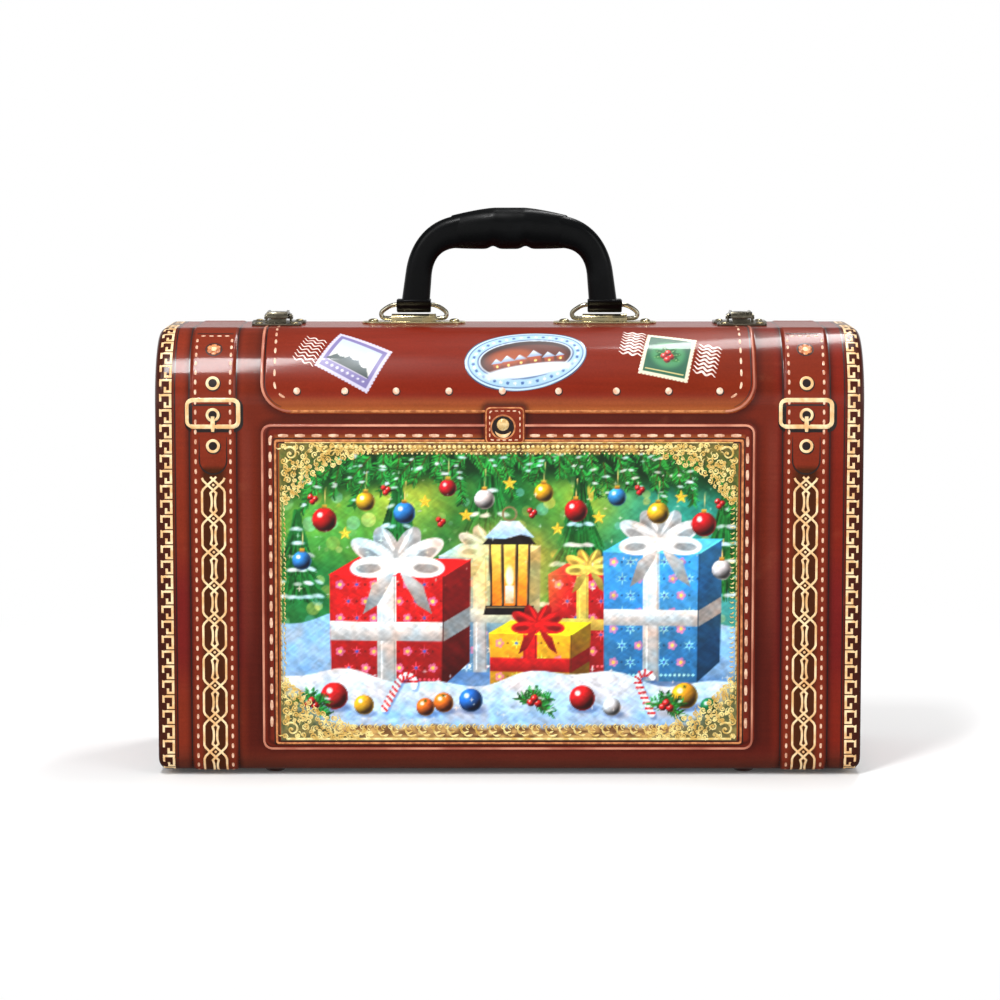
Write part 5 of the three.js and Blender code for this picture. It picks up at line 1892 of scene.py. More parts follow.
    def _twig(self, x: float, y: float, length: float, turn: float) -> None:
        """One fir twig of many needles, tipped with snow."""
        canvas, angle, steps = self.canvas, math.radians(turn), int(length * 2.2)
        across, down = math.cos(angle) * length, math.sin(angle) * length
        for k in range(steps):
            share = k / steps
            px, py = x + across * share, y + down * share + 2.2 * share * share
            for side in (-1, 1):
                lean = angle + side * math.radians(self._any(28, 58))
                reach = (1 - share * 0.45) * self._any(3.4, 5.6)
                tip = (px + reach * math.cos(lean), py + reach * math.sin(lean))
                canvas.line([(px, py), tip], 0.75, shaded((52, 128, 64), self._any(0.45, 1.5)),
                            0.3)
        canvas.line([(x, y), (x + across, y + down + 2.2)], 0.8, (96, 66, 40), 0.3, 0.7)
        for _ in range(int(length / 5)):
            share = self._any(0.1, 1)
            canvas.blob(x + across * share, y + down * share + 2.2 * share - 1.0,
                        self._any(0.8, 1.9), 0.55, self.frost, 0.8, 0.5, self._any(-20, 20))

    def _boughs(self) -> None:
        """Fir boughs along the top with balls, stars and berries hanging from them."""
        canvas, width = self.canvas, self.width
        for x in np.arange(2, width, 5.0):
            canvas.blob(x, 3, 6.5, 11 + 20 * abs(x / width - 0.5), (20, 62, 34), 0.8, 5)
        for k in range(64):
            share = (k % 32) / 31
            depth = 20 * abs(share - 0.5) + self._any(2, 8)
            lean = 90 + (share - 0.5) * -70 + self._any(-44, 44)
            self._twig(2 + share * (width - 4), self._any(-2, 9),
                       8 + depth * (1 if k < 32 else 0.6), lean)
        for x, y, radius, tint in (
                (20, 34, 5.4, (206, 28, 42)), (38, 26, 4.2, (240, 190, 60)),
                (55, 31, 4.8, (74, 150, 220)), (74, 20, 3.8, (206, 40, 60)),
                (90, 25, 4.4, (240, 244, 250)), (116, 22, 4.2, (238, 184, 50)),
                (130, 30, 5.0, (206, 30, 42)), (148, 24, 4.0, (90, 170, 226)),
                (166, 31, 4.8, (240, 192, 66)), (186, 36, 5.4, (206, 32, 46)),
                (10, 52, 4.2, (74, 150, 220)), (194, 56, 4.4, (232, 240, 250))):
            top = y - radius
            canvas.line([(x, top), (x + 0.6, top - 9)], 0.3, (236, 214, 150))
            canvas.ball(x, y, radius, tint)
            canvas.box(x - 1.1, x + 1.1, top - 1.2, top + 0.5, (226, 186, 92), (150, 108, 40))
        for place in ((29, 40), (64, 26), (101, 18), (140, 33), (176, 24), (82, 32), (122, 38)):
            canvas.star(*place, 3.2, (255, 214, 90))
        for x, y in ((14, 24), (46, 20), (110, 30), (157, 20), (192, 26), (70, 34)):
            for place in moved(x, y, (0, 0), (2, 0.8), (0.8, 2.1)):
                canvas.ball(*place, 1.3, (214, 26, 38))
        for _ in range(120):
            canvas.star(self._any(4, width - 4), self._any(4, 70), self._any(0.5, 1.3),
                        (255, 255, 239.7), 4, 0.25, self._any(0.4, 0.9))

    def _border(self) -> None:
        """Shaded olive corners and golden brown bands, the ground of the filigree."""
        x, y = np.meshgrid(self.canvas.across, self.canvas.down)
        u, v = np.minimum(x, self.width - x), np.minimum(y, self.height - y)
        room = 1 - (u / 42) ** 0.62 - (v / 28) ** 0.62 + 0.06 * self._cloud(2.2, 2.2)
        olive = blend((58, 66, 22), (128, 116, 40), 0.5 + 0.6 * self._cloud(1.5, 1.5))
        self.canvas.lay((), olive, 0.85 * smooth((room + 0.26) / 0.3))
        bands = np.maximum(smooth((5.6 - y + 0.9 * self._cloud(1.6, 3)) / 1.6),
                           smooth((y - self.height + 7.6 + 1.3 * self._cloud(4, 3)) / 1.8))
        bands = np.maximum(bands, smooth((1.5 - u + 0.5 * self._cloud(3, 1.6)) / 0.8))
        brown = blend((112, 66, 26), (222, 172, 92), 0.42 + 0.75 * self._cloud(2.6, 1.1))
        brown = blend(brown, (74, 34, 14), smooth((1.6 - v) / 1.6) * 0.8)
        self.canvas.lay((), brown, bands * 0.94 * (1 - 0.7 * smooth((room + 0.2) / 0.2)))


@dataclass(frozen=True)
class PictureSheet:
    """The picture as one fine grid on the panel."""

    sheet: Sheet
    box: Box = (-101.0, 100.4, 86.5, 218.9)
    step: float = 0.52
    lift: float = 0.025

    def build(self, material: Material) -> None:
        """Paint and make the picture."""
        x0, x1, s0, s1 = self.box
        canvas = WinterStillLife(x1 - x0, s1 - s0).paint()
        xs = np.linspace(x0, x1, round((x1 - x0) / self.step) + 1)
        ss = np.linspace(s0, s1, round((s1 - s0) / self.step) + 1)
        label_grid(self.sheet, "panel_picture", np.meshgrid(xs, ss, indexing="ij"),
                   canvas, (x0, s0), 0.0, self.lift, material)


def label_grid(sheet: Sheet, name: str, grid: Sequence[Array], canvas: Canvas,
               origin: Point, turn: float, lift: float, material: Material) -> None:
    """Lay a painted grid on the front's sheet.

    Args:
        sheet: the case's sheet.
        name: the piece's name.
        grid: x and s of the grid before it is turned.
        canvas: its painting.
        origin: the (x, s) of the painting's upper left corner.
        turn: how far the grid is turned about its middle, in degrees.
        lift: height above the sheet.
        material: its finish.
    """
    x, s = grid
    colours = canvas.colours_at(x - origin[0], s - origin[1])
    middle_x, middle_s = x.mean(), s.mean()
    c, d = heading(turn)
    placed_x = middle_x + (x - middle_x) * c + (s - middle_s) * d
    placed_s = middle_s + (s - middle_s) * c - (x - middle_x) * d
    lifts = np.full(x.shape, lift)
    lifts[0, :] = lifts[-1, :] = lifts[:, 0] = lifts[:, -1] = -0.1
    solids = Solids()
    solids.loft(sheet.place(placed_x, placed_s, lifts, Half.FRONT)[::-1], closed_rings=False,
                caps=False)
    add_piece(name, np.vstack(solids.corners), solids.faces, [material], "lid",
              sharp=60, tones=colours[::-1].reshape(-1, 3))


@dataclass(frozen=True)
class TravelLabels:
    """An oval label and two stamps with wavy postmarks, printed on the flap."""

    sheet: Sheet
    step: float = 0.42
    pixel: float = 0.12
    oval: tuple[float, ...] = (7.0, 48.4, 54.6, 31.6, 9.0)
    left: tuple[float, ...] = (-68.3, 49.0, 27.3, 23.2, -29.0)
    right: tuple[float, ...] = (69.2, 47.2, 22.6, 23.6, -12.0)
    leather: Colour = (132, 50, 34)

    def build(self, prints: PrintSet, material: Material) -> None:
        """Make the labels and their postmarks.

        Args:
            prints: the front's inks.
            material: finish of the labels.
        """
        for name, place, paint in (("oval_label", self.oval, self._village),
                                   ("left_stamp", self.left, self._hills),
                                   ("right_stamp", self.right, self._berries)):
            x, s, wide, tall, turn = place
            u, v = np.meshgrid(np.linspace(-1, 1, round(wide / self.step)),
                               np.linspace(-1, 1, round(tall / self.step)), indexing="ij")
            if name == "oval_label":
                u, v = u * np.sqrt(1 - v * v / 2), v * np.sqrt(1 - u * u / 2)
            canvas = Canvas(wide, tall, self.pixel, WHITE)
            paint(canvas, wide, tall)
            label_grid(self.sheet, name, (x + u * wide / 2, s + v * tall / 2), canvas,
                       (x - wide / 2, s - tall / 2), turn, 0.05, material)
        for mark in ((-87.5, 44.0, -24.0, 0.6), (54.0, 39.6, -10.0, 1.0),
                     (86.5, 49.5, -14.0, 1.0)):
            self._postmark(prints[InkName.POSTMARK], *mark)

    @staticmethod
    def _postmark(pale: Print, x: float, s: float, turn: float, width: float) -> None:
        """Eight short wavy lines, one below the other."""
        c, d = heading(turn)
        for row in range(8):
            path = []
            for u in np.linspace(-5.2, 5.2, 23):
                v = (row - 3.5) * 2.0 + 0.6 * math.sin(u * 1.5)
                path.append((x + u * c + v * d, s + v * c - u * d))
            pale.stroke(path, (0.3, width, width, 0.3), 0.04, step=2)

    @staticmethod
    def _village(canvas: Canvas, wide: float, tall: float) -> None:
        """A lit village among hills, in a pale blue band with a rope edge."""
        x, y = wide / 2, tall / 2
        canvas.lay((), (150, 190, 222), np.ones(canvas.colour.shape[:2]))
        for inset, tint in ((0.0, (40, 52, 84)), (0.7, (196, 222, 240)), (1.7, (70, 104, 150)),
                            (2.2, (166, 202, 230)), (6.0, (62, 88, 132)), (6.6, (214, 230, 242)),
                            (7.3, (52, 26, 26))):
            canvas.blob(x, y, x - inset, y - inset * 0.92, tint, 1, 0.3)
        for k in range(44):
            turn = 2 * math.pi * k / 44
            px, py = x + (x - 4.1) * math.cos(turn), y + (y - 3.8) * math.sin(turn)
            if k % 2:
                canvas.star(px, py, 1.25, WHITE, 6, 0.32)
            else:
                canvas.blob(px, py, 0.7, 0.7, (64, 104, 164))
        canvas.blob(x, y + 1, x - 8.4, y - 8.0, (96, 40, 26), 1, 1.5)
        canvas.blob(x - 6, y - 1, 10, 4.2, (190, 92, 42), 0.7, 3)
        for k, (dx, size) in enumerate(((-13, 3.0), (-8, 3.8), (-2.4, 3.2), (4, 4.2), (10, 3.4),
                                        (15, 2.6))):
            px, base = x + dx, y + 4.4 + 0.4 * math.sin(k * 2.1)
            canvas.box(px - size * 0.6, px + size * 0.6, base - size, base, (176, 76, 36),
                       (110, 40, 24), 0.2)
            roof = moved(px, base, (-size * 0.85, -size), (0, -size * 1.8), (size * 0.85, -size))
            canvas.fill(roof, (228, 236, 244), (150, 170, 200), 0.2)
            canvas.blob(px, base - size * 0.5, 0.6, 0.6, (255, 220, 120), 1, 0.3)
        canvas.blob(x, y + 6.6, 20, 3.0, (214, 228, 242), 1, 1.0)

    def _edge(self, canvas: Canvas, paper: Colour, ground: Colour) -> None:
        """A stamp's perforated margin round a coloured field."""
        wide, tall = canvas.width, canvas.height
        canvas.box(0, wide, 0, tall, paper, soft=0)
        for along, other, way in ((wide, tall, 1), (tall, wide, -1)):
            for k in range(int(along / 1.7) + 1):
                for edge in (0.0, other):
                    canvas.blob(*(k * 1.7, edge)[::way], 0.55, 0.55, self.leather, 1, 0.15)
        canvas.box(2, wide - 2, 2, tall - 2, ground, soft=0.2)

    def _hills(self, canvas: Canvas, wide: float, tall: float) -> None:
        """Snowy hills and a pale moon on lilac."""
        self._edge(canvas, (206, 200, 222), (126, 116, 168))
        canvas.box(3.6, wide - 3.6, 3.6, tall - 6, (196, 206, 222), (228, 226, 214), 0.2)
        canvas.blob(wide * 0.72, 7, 2.0, 2.0, (255, 246, 214), 1, 0.4)
        for x, size, tint in ((8, 6.5, (108, 120, 120)), (14, 8.5, (140, 150, 158)),
                              (19.5, 6.0, (86, 100, 104))):
            for outline, colour, low in (
                    (((-0.8, 0), (0, -1), (0.8, 0)), tint, (60, 74, 74)),
                    (((-0.27, -0.66), (0, -1), (0.27, -0.66), (0, -0.55)), WHITE, None)):
                canvas.fill([(x + size * u, tall - 6.2 + size * v) for u, v in outline], colour,
                            low, 0.2)
        for k in range(8):
            canvas.star(4.6 + k * 2.6, tall - 4.1, 0.95, (238, 236, 250), 6, 0.35)

    def _berries(self, canvas: Canvas, wide: float, tall: float) -> None:
        """Red berries and pointed leaves on deep green."""
        self._edge(canvas, (236, 226, 196), (36, 96, 70))
        canvas.blob(wide * 0.5, tall * 0.48, 7.5, 7.0, (76, 150, 96), 0.9, 3)
        x, y = wide / 2, tall / 2 + 0.6
        for turn in (200, 245, 300, 340, 20, 160):
            c, d = heading(turn)
            leaf = moved(x, y, (0, 0), (3.2 * c - 1.7 * d, 2.9 * d + 1.7 * c),
                         (6.4 * c, 5.8 * d), (3.2 * c + 1.7 * d, 2.9 * d - 1.7 * c))
            canvas.fill(leaf, (20, 84, 44), (58, 132, 66), 0.2)
            canvas.line(leaf[:3:2], 0.3, (170, 214, 140), 0.1)
        for place in moved(x, y, (-1.5, 0.4), (1.5, 0.2), (0, -1.6), (0.2, 2.0)):
            canvas.ball(*place, 1.55, (222, 40, 40))
        canvas.line([(3, tall - 3.4), (wide - 3, tall - 3.4)], 0.5, (232, 214, 140))


# Handle


@dataclass(frozen=True)
class CarryHandle:
    """Moulded arch with a thicker finger grip and two square collars for the rings."""

    origin: Place = (0.0, 9.0, 204.2)
    span: float = 98.9
    rise: float = 43.86
    leg_width: float = 12.7
    leg_depth: float = 10.0
    leg_inset: float = 0.9
    grip_length: float = 52.6
    grip_thickness: float = 18.66
    grip_depth: float = 15.0
    crown_fall: float = 3.6
    sleeve_step: float = 0.5
    notch_spacing: float = 14.6
    notch_height: float = 1.3
    collar_x: float = 43.1
    collar_width: float = 15.4
    collar_depth: float = 10.4
    collar_top: float = 2.6
    eye_radius: float = 3.4
    around: int = 40

    def crown(self, x: float) -> float:
        """Height of the grip's crown at x."""
        level = self.grip_length * 0.12
        fall = max(abs(x) - level, 0) / (self.grip_length / 2 - level)
        return self.rise - self.crown_fall * fall ** 1.4

    def underside(self, x: float) -> float:
        """Height of the grip's underside at x, with a notch on each side of the middle lobe."""
        from_notch = (abs(x) - self.notch_spacing / 2) / (self.notch_spacing / 7)
        end = self.notch_height * 0.4 * (2 * x / self.grip_length) ** 4
        return (self.rise - self.grip_thickness + end
                + self.notch_height * math.exp(-(from_notch ** 2)))

    def _section(self, outer: Point, inner: Point, depth: float, power: float) -> Array:
        """A rounded ring between an outer and an inner point of the (x, z) plane."""
        turns = full_turn(self.around)
        across = (1 + np.sign(np.cos(turns)) * np.abs(np.cos(turns)) ** (2 / power)) / 2
        aside = np.sign(np.sin(turns)) * np.abs(np.sin(turns)) ** (2 / power) * depth / 2
        return np.stack([inner[0] + (outer[0] - inner[0]) * across, aside,
                         inner[1] + (outer[1] - inner[1]) * across], -1)

    def _side(self, foot: Point, knee: Point, pulls: Sequence[Point], shoulder: Point,
              bridge: Callable[[float], float]) -> list[Point]:
        """One side of the arch from its foot to the middle."""
        points = [(foot[0] + (knee[0] - foot[0]) * t, foot[1] + (knee[1] - foot[1]) * t)
                  for t in np.linspace(0, 1, 9)[:-1]]
        controls = np.array([knee, *pulls, shoulder])
        for t in np.linspace(0, 1, 25):
            weights = np.array([(1 - t) ** 3, 3 * t * (1 - t) ** 2, 3 * t * t * (1 - t), t ** 3])
            points.append(tuple(weights @ controls))
        for t in np.linspace(0, 1, 9)[1:]:
            x = shoulder[0] * (1 - t)
            points.append((x, bridge(x)))
        return points

    def _arch(self, solids: Solids) -> None:
        """The legs, the shoulders and the bar inside the grip."""
        foot = self.span / 2 - self.leg_inset
        inner = foot - self.leg_width
        low = self.collar_top - 0.4
        grip = self.grip_length / 2
        bridge = self.rise - self.grip_thickness + self.sleeve_step
        outside = self._side(
            (foot, low), (foot - 1.8, self.rise * 0.34),
            [(foot - 3.4, self.rise * 0.61), (foot - 10.1, self.rise * 0.84)],
            (grip, self.crown(grip) - self.sleeve_step),
            lambda x: self.crown(x) - self.sleeve_step)
        inside = self._side(
            (inner, low), (inner - 0.8, bridge * 0.5),
            [(inner - 1.4, bridge * 0.85), (inner - 6, bridge)],
            (inner - 13.2, bridge), lambda x: bridge + self.notch_height * 1.2)
        half = [self._section(a, b, self.leg_depth, 3.2) for a, b in zip(outside, inside)]
        mirror = [ring * (-1, 1, 1) for ring in half[-2::-1]]
        solids.loft(np.array(half + mirror) + np.asarray(self.origin))

    def _grip(self, solids: Solids) -> None:
        """The finger grip, its ends rounded over."""
        half = self.grip_length / 2
        xs = np.concatenate([[half, half - 0.05, half - 0.25, half - 0.6],
                             np.linspace(half - 1.2, -half + 1.2, 90),
                             [-half + 0.6, -half + 0.25, -half + 0.05, -half]])
        rings = []
        for x in xs:
            swell = math.cos(x / self.grip_length * math.pi * 0.6)
            tuck = 0.45 * (1 - min(1, (half - abs(x)) / 0.6)) ** 2
            rings.append(self._section((x, self.crown(x) - tuck), (x, self.underside(x) + tuck),
                                       self.grip_depth * swell - 2 * tuck, 2.6))
        solids.loft(np.array(rings) + np.asarray(self.origin))

    def _collar(self, solids: Solids, x: float) -> None:
        """A square collar with a round eye for the ring's top bar."""
        outline = []
        for turn in np.linspace(math.pi, 2 * math.pi, 17):
            outline.append((self.eye_radius * math.cos(turn), self.eye_radius * math.sin(turn)))
        half, top = self.collar_depth / 2, self.collar_top
        outline += [(half - 0.3, top * 0.5), (half, top * 0.62), (half, top - 0.3),
                    (half - 0.3, top), (0.3 - half, top), (-half, top - 0.3),
                    (-half, top * 0.62), (0.3 - half, top * 0.5)]
        width = self.collar_width / 2
        rings = []
        for at, shrink in ((-width, 0.5), (0.25 - width, 0.14), (0.7 - width, 0),
                           (width - 0.7, 0), (width - 0.25, 0.14), (width, 0.5)):
            rings.append([(x + at, y * (1 - shrink / 5), z * (1 - shrink / 4))
                          for y, z in outline])
        solids.loft(np.array(rings) + np.asarray(self.origin))

    def build(self, plastic: Material) -> bpy.types.Object:
        """Make the handle."""
        solids = Solids()
        self._arch(solids)
        self._grip(solids)
        for x in (-self.collar_x, self.collar_x):
            self._collar(solids, x)
        return solids.piece("carry_handle", plastic, "handle", "black_plastic", ["handle"], 46)


@dataclass(frozen=True)
class HandleMount:
    """One wire ring and the plate that holds it."""

    side: str
    sign: int
    x: float = 43.1
    y: float = 9.0
    axis_z: float = 198.2
    wire: float = 1.0
    wire_sides: int = 20
    rise: float = 6.0
    foot: float = 15.0
    top: float = 9.0

    def build(self, plate: Material, wire: Material) -> None:
        """Make the ring and the plate.

        Args:
            plate: finish of the plate.
            wire: finish of the ring.
        """
        refined(f"{self.side}_handle_plate", plate, "case_back", 0.2)
        corner = self.rise / 4
        half = [(0, 0), (self.foot / 2, 0), (self.foot - 2 * corner, 0),
                (self.foot - corner * 0.5, corner * 0.35),
                (self.foot - corner * 0.2, self.rise * 0.4),
                ((self.foot + self.top) / 2, self.rise * 0.8), (self.top, self.rise),
                (self.top / 2, self.rise)]
        path = half + [(0, self.rise)] + [(-x, z) for x, z in half[:0:-1]]
        loop = closed_curve(path, 12)
        ahead = unit(np.roll(loop, -1, 0) - np.roll(loop, 1, 0))
        turns = full_turn(self.wire_sides)
        rings = np.array([[(p[0] - a[1] * math.cos(t) * self.wire, math.sin(t) * self.wire,
                            p[1] + a[0] * math.cos(t) * self.wire) for t in turns]
                          for p, a in zip(loop, ahead)])
        solids = Solids()
        solids.loft(rings + (self.sign * self.x, self.y, self.axis_z), closed_path=True)
        solids.piece(f"{self.side}_wire_ring", wire, "rings", "brass_plate",
                     [f"{self.side}_handle_ring"], 60)


def closed_curve(points: Sequence[Point], steps: int) -> Array:
    """A smooth closed curve through points, with some steps between each pair.

    Args:
        points: corners of the curve.
        steps: steps between two corners.

    Returns:
        The curve's points.
    """
    given = np.asarray(points, float)
    count = len(given)
    curve = []
    for i in range(count):
        before, start, end, after = (given[(i + k) % count] for k in (-1, 0, 1, 2))
        lengths = [max(np.linalg.norm(b - a), 1e-6) ** 0.5
                   for a, b in ((before, start), (start, end), (end, after))]
        leave = ((start - before) / lengths[0] - (end - before) / (lengths[0] + lengths[1])
                 + (end - start) / lengths[1]) * lengths[1]
        arrive = ((end - start) / lengths[1] - (after - start) / (lengths[1] + lengths[2])
                  + (after - end) / lengths[2]) * lengths[1]
        for t in np.arange(steps) / steps:
            curve.append((2 * t ** 3 - 3 * t ** 2 + 1) * start + (t ** 3 - 2 * t ** 2 + t) * leave
                         + (3 * t ** 2 - 2 * t ** 3) * end + (t ** 3 - t ** 2) * arrive)
    return np.array(curve)


# Latches, hinges and rivets


@dataclass(frozen=True)
class RivetKind:
    """A rivet's sizes."""

    shank: float
    head: float
    rise: float
    tail: float
    tail_rise: float


SMALL_RIVET = RivetKind(1.0, 1.8, 0.6, 1.7, 0.5)
LARGE_RIVET = RivetKind(1.25, 2.4, 1.2, 2.2, 0.6)


@dataclass(frozen=True)
class RivetRow:
    """The rivets of one fitting, all alike."""

    sides: ClassVar[int] = 28
    arc_steps: ClassVar[int] = 12
    label: str
    kind: RivetKind
    places: tuple[Point, ...]
    top: float
    grip: float
    body: str
    under: bool = False

    def build(self, metal: Material) -> None:
        """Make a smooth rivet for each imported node."""
        kind, grip = self.kind, self.grip
        profile = [(0, -grip - kind.tail_rise), (kind.tail * 0.7, -grip - kind.tail_rise),
                   (kind.tail * 0.92, -grip - kind.tail_rise * 0.7), (kind.tail, -grip),
                   (kind.shank, -grip), (kind.shank, 0), (kind.head * 0.98, 0)]
        for step in range(1, self.arc_steps):
            turn = step / self.arc_steps * math.pi / 2
            profile.append((kind.head * math.cos(turn) ** 0.9, kind.rise * math.sin(turn)))
        profile.append((0, kind.rise))
        names = [f"{side}_{self.label}_{end}" for side in ("left", "right") for end in "ab"]
        turn = Matrix.Rotation(math.pi, 3, "X") if self.under else None
        for name, (x, y) in zip(names, self.places):
            solids = Solids()
            solids.lathe(profile, (x, y, self.top), self.sides, turn)
            solids.piece(f"{name}_dome", metal, self.body, "steel_pin", [name], 60)


@dataclass(frozen=True)
class DrawLatch:
    """One over-centre latch: base and strike plates, lever, link and two headed pins."""

    side: str

    def build(self, plating: Material, steel: Material) -> None:
        """Dress every part of the latch.

        Args:
            plating: finish of the stamped parts.
            steel: finish of the pins.
        """
        lever = f"{self.side}_lever"
        for part, body in (("latch_base", "case_back"), ("latch_strike", "lid"),
                           ("latch_lever", lever), ("latch_link", f"{self.side}_link")):
            refined(f"{self.side}_{part}", plating, body, 0.16)
        refined(f"{self.side}_lever_pin", steel, "case_back", 0.1, 55)
        refined(f"{self.side}_link_pin", steel, lever, 0.1, 55)


@dataclass(frozen=True)
class BottomHinge:
    """One bottom hinge: two leaves and a headed pin."""

    side: str

    def build(self, steel: Material) -> None:
        """Dress the hinge."""
        refined(f"{self.side}_hinge_lid_leaf", steel, "lid", 0.1)
        refined(f"{self.side}_hinge_body_leaf", steel, "case_back", 0.1)
        refined(f"{self.side}_hinge_pin", steel, "case_back", 0.1, 55)


# Studio


@dataclass(frozen=True)
class Lamp:
    """A soft rectangular lamp."""

    name: str
    place: Place
    aim: Place
    size: tuple[float, float]
    power: float

    def build(self) -> None:
        """Hang the lamp."""
        data = bpy.data.lights.new(self.name, "AREA")
        data.shape = "RECTANGLE"
        data.size, data.size_y = self.size
        data.energy = self.power
        lamp = bpy.data.objects.new(self.name, data)
        lamp.location = self.place
        lamp.rotation_euler = (Vector(self.aim) - Vector(self.place)).to_track_quat(
            "-Z", "Y").to_euler()
        bpy.context.scene.collection.objects.link(lamp)


@dataclass(frozen=True)
class Studio:
    """Camera, pale floor and soft light."""

    aim: Place = (-0.0042, 0.0, 0.1165)
    distance: float = 1.6
    elevation: float = 6.5
    lens: float = 127.4
    sensor: float = 36.0
    ambient: float = 0.55
    ceiling: float = 0.88
    floor_reach: float = 6.0
    lamps: tuple[Lamp, ...] = (
        Lamp("front_left", (-1.1, -1.3, 1.1), (0, 0, 0.1), (0.8, 0.8), 7.4),
        Lamp("front_right", (1.2, -1.2, 0.9), (0, 0, 0.1), (0.7, 0.9), 5.0),
        Lamp("left_strip", (-0.225, -0.61, 1.15), (-0.12, -0.047, 0.18), (0.11, 0.5), 8.0),
        Lamp("right_strip", (0.212, 0.354, 1.18), (0.12, -0.036, 0.19), (0.1, 0.85), 6.4),
    )

    def build_camera(self) -> None:
        """Place the camera at the photograph's angle."""
        data = bpy.data.cameras.new("camera")
        data.lens = self.lens
        data.sensor_width = self.sensor
        camera = bpy.data.objects.new("camera", data)
        rise = math.radians(self.elevation)
        away = Vector((0, -math.cos(rise), math.sin(rise))) * self.distance
        camera.location = Vector(self.aim) + away
        camera.rotation_euler = (-away).to_track_quat("-Z", "Y").to_euler()
        bpy.context.scene.collection.objects.link(camera)
        bpy.context.scene.camera = camera

    def build_room(self) -> None:
        """Lay the floor, hang the lamps and light the world."""
        bpy.context.scene.view_settings.view_transform = "Standard"
        mesh = bpy.data.meshes.new("floor")
        reach = self.floor_reach
        mesh.from_pydata([(-reach, -reach, 0), (reach, -reach, 0), (reach, reach, 0),
                          (-reach, reach, 0)], [], [(0, 1, 2, 3)])
        mesh.materials.append(PlainGround().material())
        floor = bpy.data.objects.new("floor", mesh)
        bpy.context.scene.collection.objects.link(floor)
        for lamp in self.lamps:
            lamp.build()
        self._light_room()

    def _light_room(self) -> None:
        """Even light; the camera and low reflections see white, high ones a dimmer ceiling."""
        shader = Shader("room", room=True)
        seen, mirrored = shader.seen(), shader.mirrored()
        rise = shader.node("ShaderNodeSeparateXYZ", inputs={
            0: shader.node("ShaderNodeTexCoord", output="Generated")}, output=2)
        level = (seen + mirrored * (1 - self.ceiling * rise.step(0.08, 0.34))
                 + (1 - seen - mirrored) * self.ambient)
        light = shader.node("ShaderNodeBackground", inputs={
            "Color": (1.0, 1.0, 1.0), "Strength": level})
        shader.node("ShaderNodeOutputWorld", inputs={"Surface": light})
        bpy.context.scene.world = shader.owner


def main() -> None:
    """Build the tin, piece by piece."""
    logging.basicConfig(level=logging.INFO, format="%(message)s")
    studio = Studio()
    studio.build_camera()
    studio.build_room()
    sheet = Sheet()
    leather = PrintedLeather().material()
    tin = PlatedMetal("bare_tinplate", linear(188, 186, 178), linear(150, 148, 140),
                      0.3, mottle=0.3).material()
    brass = PlatedMetal("pale_brass_plating", linear(206, 192, 150),
                        linear(150, 128, 84), 0.2).material()
    aged = PlatedMetal("aged_plating", linear(122, 116, 100), linear(66, 60, 50), 0.22).material()
    wire = PlatedMetal("bright_wire", linear(178, 172, 150), linear(116, 108, 88),
                       0.16).material()
    steel = PlatedMetal("zinc_steel", linear(178, 174, 164), linear(128, 124, 114),
                        0.26).material()
    plastic = MouldedPlastic(linear(6, 7, 8), linear(16, 18, 20)).material()
    CaseHalf(Half.FRONT, sheet, "front_shell").build(leather, tin)
    CaseHalf(Half.BACK, sheet, "back_shell").build(leather, tin)
    NeckBand(sheet).build(tin)
    print_case(sheet)
    CarryHandle().build(plastic)
    for side, sign in (("left", -1), ("right", 1)):
        HandleMount(side, sign).build(brass, wire)
        DrawLatch(side).build(aged, steel)
        BottomHinge(side).build(steel)
    for row in rivet_rows():
        row.build(steel if row.under else brass)


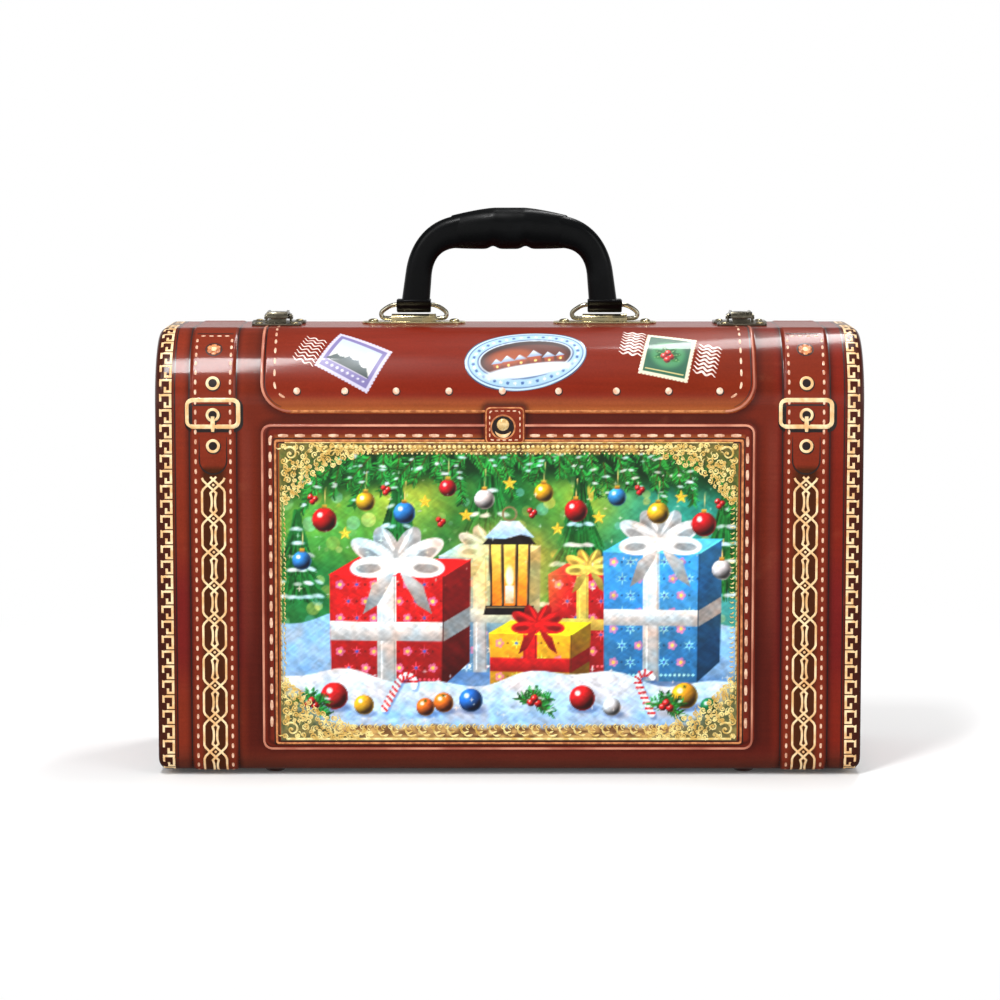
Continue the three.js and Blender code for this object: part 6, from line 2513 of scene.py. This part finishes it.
def print_case(sheet: Sheet) -> None:
    """Print both halves of the case's sheet."""
    inks = {
        InkName.STITCH: Ink("pale_stitches", linear(244, 204, 172), linear(206, 146, 114)),
        InkName.LINE: Ink("edge_lines", linear(218, 146, 116), linear(176, 96, 72), 60),
        InkName.GOLD: Ink("gold_ornament", linear(255, 226, 176), linear(232, 180, 118), 210),
        InkName.DARK: Ink("dark_lines", linear(32, 9, 5), linear(22, 6, 4)),
        InkName.CORD: Ink("cord_lines", linear(220, 142, 82), linear(166, 88, 42)),
        InkName.GILT: Ink("gilt_scrolls", linear(255, 240, 168), linear(222, 182, 92), 300),
        InkName.DOME: Ink("small_rivets", linear(255, 224, 200), linear(230, 164, 128)),
        InkName.POSTMARK: Ink("postmark_lines", linear(250, 238, 230), linear(226, 196, 186)),
    }
    front = PrintSet(sheet, Half.FRONT)
    back = PrintSet(sheet, Half.BACK)
    for prints in (front, back):
        KeyBorder().draw(prints)
        for x in (-sheet.strap_x, sheet.strap_x):
            StrapPrint(x).draw(prints)
    x0, x1, s0, s1 = sheet.tab
    front.clear = (x0 + 0.6, x1 - 0.6, s0 + 0.6, s1 - 0.6)
    FlapPrint().draw(front)
    PanelPrint().draw(front)
    front.clear = None
    GiltFrame().draw(front)
    PanelPrint((-106.0, 106.0, 50.0, 222.1), (-102.0, 102.0, 54.6, 214.0),
               (-98.6, 98.6, 58.0, 215.6)).draw(back)
    GiltFrame((-96.4, 96.4, 60.4, 213.4), (27.0, 18.0), 12).corners(back[InkName.GILT])
    ball = Ink("clasp_gold", linear(255, 230, 172), linear(226, 178, 104), 200, 0.2, 0.3, 0.7)
    ClaspTab().build(front, ball.material())
    picture = PaintedPicture("lithograph").material()
    PictureSheet(sheet).build(picture)
    TravelLabels(sheet).build(front, picture)
    materials = {name: ink.material() for name, ink in inks.items()}
    front.build(materials)
    back.build(materials)


def rivet_rows() -> list[RivetRow]:
    """All rows of rivets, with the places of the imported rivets."""
    top = 196.0

    def four(x: float, gap: float, y: float) -> tuple[Point, ...]:
        """The places of two pairs."""
        return tuple((side * x + end * gap, y) for side in (-1, 1) for end in (-1, 1))

    room = 0.1
    plate, latch, leaf = room + 0.8, room + 1.0, room + 0.5
    return [
        RivetRow("plate_rivet", LARGE_RIVET, four(43.1, 18.3, 9.0), top + plate, 1.35,
                 "case_back"),
        RivetRow("base_rivet", SMALL_RIVET, four(104, 9, 12.5), top + latch, 1.55, "case_back"),
        RivetRow("strike_rivet", SMALL_RIVET, four(104, 8, -9.2), top + latch, 1.55, "lid"),
        RivetRow("lid_hinge_rivet", SMALL_RIVET, four(70, 12, -9), 2 - leaf, 1.05, "lid", True),
        RivetRow("body_hinge_rivet", SMALL_RIVET, four(70, 12, 9), 2 - leaf, 1.05, "case_back",
                 True),
    ]


if __name__ == "__main__":
    main()
